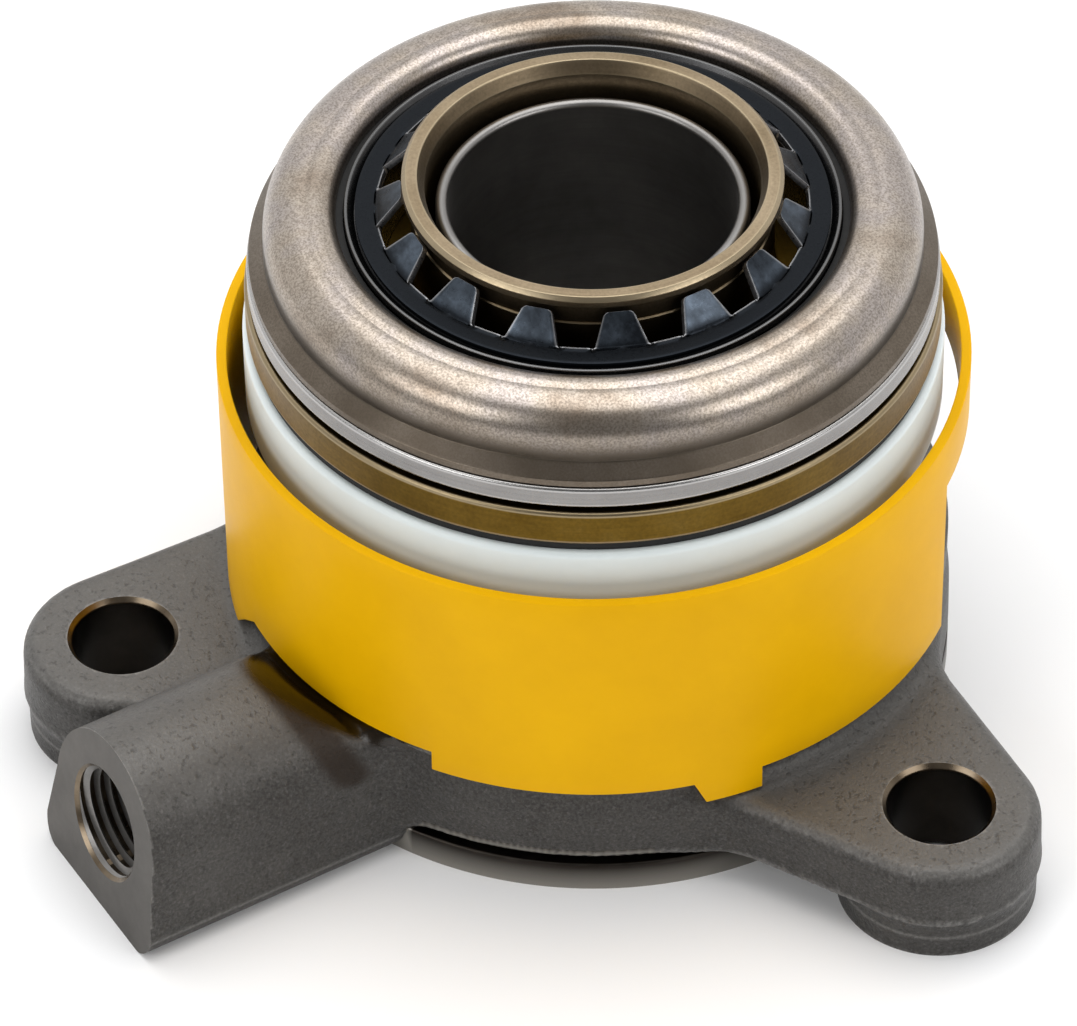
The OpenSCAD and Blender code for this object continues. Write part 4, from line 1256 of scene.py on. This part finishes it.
def blued_steel(rings):
    """Near-black spring sheet with a hint of blue and rubbed bright edges; its flat ring is painted darker
    than its fingers, as shade.
    """
    finish = Finish("blued_steel", (0.012, 0.014, 0.018), 0.9, 0.3)
    parts = finish.group(rings, Ring_scale=1500.0, Blotch_scale=330.0)
    tone = finish.ramp(parts["Blotches"], [(0.35, (0.018, 0.022, 0.028)), (0.52, (0.05, 0.062, 0.078)),
                                           (0.68, (0.1, 0.125, 0.16)), (0.82, (0.16, 0.18, 0.21))])
    # Painted shade: the flat ring below the fingers is near-black, while the rising fingers keep the lighter
    # blue tones.
    tone = finish.mix(finish.above(CLIP_Z + 0.25, CLIP_Z + 0.9), (0.008, 0.01, 0.013), tone)
    edge = ramp_value(finish.tree, finish.kept(), 0.4, 1.0)
    worn = finish.times(edge, finish.spread(parts["Fine"], 0.35, 1.0))
    finish.feed(finish.mix(worn, tone, (0.4, 0.4, 0.41)), "Base Color")
    finish.feed(finish.spread(parts["Fine"], 0.2, 0.4), "Roughness")
    finish.bump(parts["Fine"], 0.006, 0.4)
    return finish.material


def rubber(grain):
    """Matt black seal rubber."""
    finish = Finish("seal_rubber", (0.006, 0.006, 0.006), 0.0, 0.6, Specular_IOR_Level=0.25)
    parts = finish.group(grain, Grain_scale=1800.0, Patch_scale=200.0)
    tone = finish.ramp(parts["Patches"], tones((0.004, 0.004, 0.004), (0.01, 0.01, 0.0095)))
    finish.feed(tone, "Base Color")
    finish.feed(finish.spread(parts["Height"], 0.45, 0.65), "Roughness")
    finish.bump(parts["Height"], 0.01, 0.4)
    return finish.material


# Stage


def add_area(name, place, aim, size, watts):
    """A rectangular lamp at a place, turned to a point."""
    light = bpy.data.lights.new(name, "AREA")
    light.shape = "RECTANGLE"
    light.size, light.size_y = size
    light.energy = watts
    lamp = bpy.data.objects.new(name, light)
    lamp.location = place
    lamp.rotation_euler = (Vector(aim) - Vector(place)).to_track_quat("-Z", "Y").to_euler()
    bpy.context.scene.collection.objects.link(lamp)


def studio():
    """Soft white room: a pale world that is dim in front, a wide lamp above and two small ones in front."""
    scene = bpy.context.scene
    world = bpy.data.worlds.new("studio")
    scene.world = world
    world.use_nodes = True
    tree = world.node_tree
    tree.links.new(room_light(tree), tree.nodes["Background"].inputs["Color"])
    tree.nodes["Background"].inputs["Strength"].default_value = 1.0
    add_area("softbox", place=(-0.12, 0.1, 0.9), aim=(0, 0, 0.02), size=(0.9, 0.9), watts=5.3)
    add_area("front_left", place=(0.1, -0.75, 0.5), aim=(0, 0, 0.03), size=(0.5, 0.4), watts=2.3)
    add_area("front_right", place=(0.75, 0.3, 0.5), aim=(0, 0, 0.03), size=(0.5, 0.4), watts=2.3)


def room_light(tree):
    """White backdrop behind and beside the part, and a dim room in front of it."""
    az = math.radians(CAMERA_AZIMUTH)
    towards = add_node(tree, "ShaderNodeTexCoord").outputs["Generated"]
    across = add_node(tree, "ShaderNodeVectorMath", {0: towards, 1: (-math.sin(az), math.cos(az), 0)},
                      operation="DOT_PRODUCT")
    side = add_node(tree, "ShaderNodeMath", {0: across.outputs["Value"], 1: 0.5, 2: 0.5},
                    operation="MULTIPLY_ADD")
    levels = [(0.0, 0.14), (0.32, 0.2), (0.6, 0.95), (1.0, 1.0)]
    return color_ramp(tree, side.outputs[0], [(spot, (level,) * 3) for spot, level in levels])


def floor():
    """Plain white floor under the part."""
    finish = Finish("pale_floor", (0.93, 0.93, 0.93), 0.0, 0.7)
    clouds = noise_node(finish.tree, finish.place, 3.0, 2.0, 0.5)
    finish.feed(finish.ramp(clouds, tones((0.925, 0.925, 0.93), (0.935, 0.935, 0.938))), "Base Color")
    half = 3000
    corners = [(-half, -half, 0), (half, -half, 0), (half, half, 0), (-half, half, 0)]
    new_piece("floor", corners, [(0, 1, 2, 3)], [finish.material])


def camera():
    """Camera at the photograph's viewing angle."""
    az, el, roll = math.radians(CAMERA_AZIMUTH), math.radians(CAMERA_ELEVATION), CAMERA_ROLL
    right = Vector((math.cos(az), math.sin(az), 0))
    forward = Vector((-math.sin(az) * math.cos(el), math.cos(az) * math.cos(el), -math.sin(el)))
    up = right.cross(forward)
    local_x = math.cos(roll) * right + math.sin(roll) * up
    local_y = -math.sin(roll) * right + math.cos(roll) * up
    lens = bpy.data.cameras.new("camera")
    lens.sensor_fit = "HORIZONTAL"
    lens.sensor_width = 36
    lens.lens = CAMERA_LENS
    lens.shift_x, lens.shift_y = CAMERA_SHIFT
    lens.clip_start, lens.clip_end = 0.01, 20
    eye = bpy.data.objects.new("camera", lens)
    turn = Matrix((local_x, local_y, -forward)).transposed().to_4x4()
    eye.matrix_world = Matrix.Translation(CAMERA_AIM - forward * CAMERA_DISTANCE) @ turn
    bpy.context.scene.collection.objects.link(eye)
    bpy.context.scene.camera = eye


# The object

grain = blast_grain_group()
rings = turned_rings_group()

casting = cast_aluminium(grain)
milled = milled_aluminium(grain)
bronzed = bronzed_cut(grain)
thread_alloy = ringed_metal("thread_alloy", rings, tones((0.15, 0.142, 0.133), (0.25, 0.241, 0.23)),
                            (0.28, 0.4), metallic=0.6)
# Painted shade: the bolt holes' walls get a near-black alloy for the shade inside them.
shaded_bore = ringed_metal("shaded_bore_alloy", rings, tones((0.016, 0.013, 0.01), (0.04, 0.034, 0.028)),
                       (0.25, 0.4))
spigot_alloy = ringed_metal("spigot_alloy", rings, tones((0.022, 0.018, 0.015), (0.042, 0.036, 0.031)),
                            (0.28, 0.45), edge=(0.4, 0.38, 0.34))
tube_steel = ringed_metal("tube_steel", rings, tones((0.27, 0.26, 0.25), (0.4, 0.385, 0.37)),
                          (0.3, 0.44), edge=(0.19, 0.185, 0.18))
pressed = satin_steel(grain, rings)
ground_steel = ringed_metal("race_steel", rings, tones((0.25, 0.241, 0.236), (0.335, 0.326, 0.317)),
                            (0.18, 0.34), edge=(0.5, 0.49, 0.48))
# Painted shade: a darker copy of the race steel for the inner race, in the gap between the contact ring and
# the clip.
race_steel_in_shade = ringed_metal("shaded_race_steel", rings, tones((0.06, 0.06, 0.062), (0.11, 0.11, 0.112)),
                          (0.2, 0.34), edge=(0.16, 0.16, 0.16))
zinc = yellow_zinc(rings)
wire_steel = ringed_metal("spring_steel", rings, tones((0.1, 0.1, 0.1), (0.2, 0.2, 0.205)), (0.22, 0.38),
                          depth=0.003)
piston_alloy = ringed_metal("piston_alloy", rings, tones((0.45, 0.45, 0.44), (0.6, 0.6, 0.59)), (0.2, 0.38))
ball_steel = ringed_metal("ball_steel", rings, tones((0.62, 0.62, 0.62), (0.74, 0.74, 0.74)), (0.05, 0.14),
                          depth=0.001)
blued = blued_steel(rings)
yellow = moulded_plastic("guard_plastic", rings, tones((0.77, 0.40, 0.0), (0.85, 0.455, 0.0)), (0.34, 0.42),
                         Specular_IOR_Level=0.07)
white = moulded_plastic("cup_plastic", rings, tones((0.69, 0.75, 0.75), (0.76, 0.82, 0.815)), (0.3, 0.42))
support = moulded_plastic("support_plastic", rings, tones((0.7, 0.68, 0.6), (0.78, 0.76, 0.68)), (0.4, 0.5))
cage = moulded_plastic("cage_plastic", rings, tones((0.4, 0.31, 0.18), (0.5, 0.4, 0.25)), (0.4, 0.5))
black = rubber(grain)

coil = coil_tree()

fit(cast_body([casting, milled, bronzed, spigot_alloy, shaded_bore]), "base", "cast_aluminium", "housing")
fit(port_thread(coil, thread_alloy), "base", "cast_aluminium")
fit(guard_sleeve(yellow), "base", "guard_plastic", "guard_sleeve")
fit(guide_tube(tube_steel), "base", "tube_steel", "guide_tube")

spring = preload_spring(coil, wire_steel)
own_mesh(spring)
fit(spring, "base", "spring_steel", "preload_spring")

fit(spring_cup(white), "release_piston", "cup_plastic", "spring_cup")
fit(isolator_ring(black), "release_piston", "seal_rubber", "isolator_ring")
fit(bearing_carrier(zinc), "release_piston", "yellow_zinc", "bearing_carrier")
fit(retaining_clip(blued), "release_piston", "blued_steel", "retaining_clip")
fit(inner_race(race_steel_in_shade), "release_piston", "race_steel", "inner_race")
fit(contact_ring(pressed), "bearing_ring", "pressed_steel", "contact_ring")
fit(outer_race(ground_steel), "bearing_ring", "race_steel", "outer_race")

kept_nodes = {"tube_o_ring": black, "stop_ring": wire_steel, "piston": piston_alloy, "piston_seal": black,
              "seal_support_ring": support, "front_seal": black, "rear_seal": black, "ball_cage": cage,
              "balls": ball_steel}
for node, material in kept_nodes.items():
    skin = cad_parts[node].data.materials
    skin.clear()
    skin.append(material)

floor()
studio()
camera()
bpy.context.scene.view_settings.view_transform = "Standard"
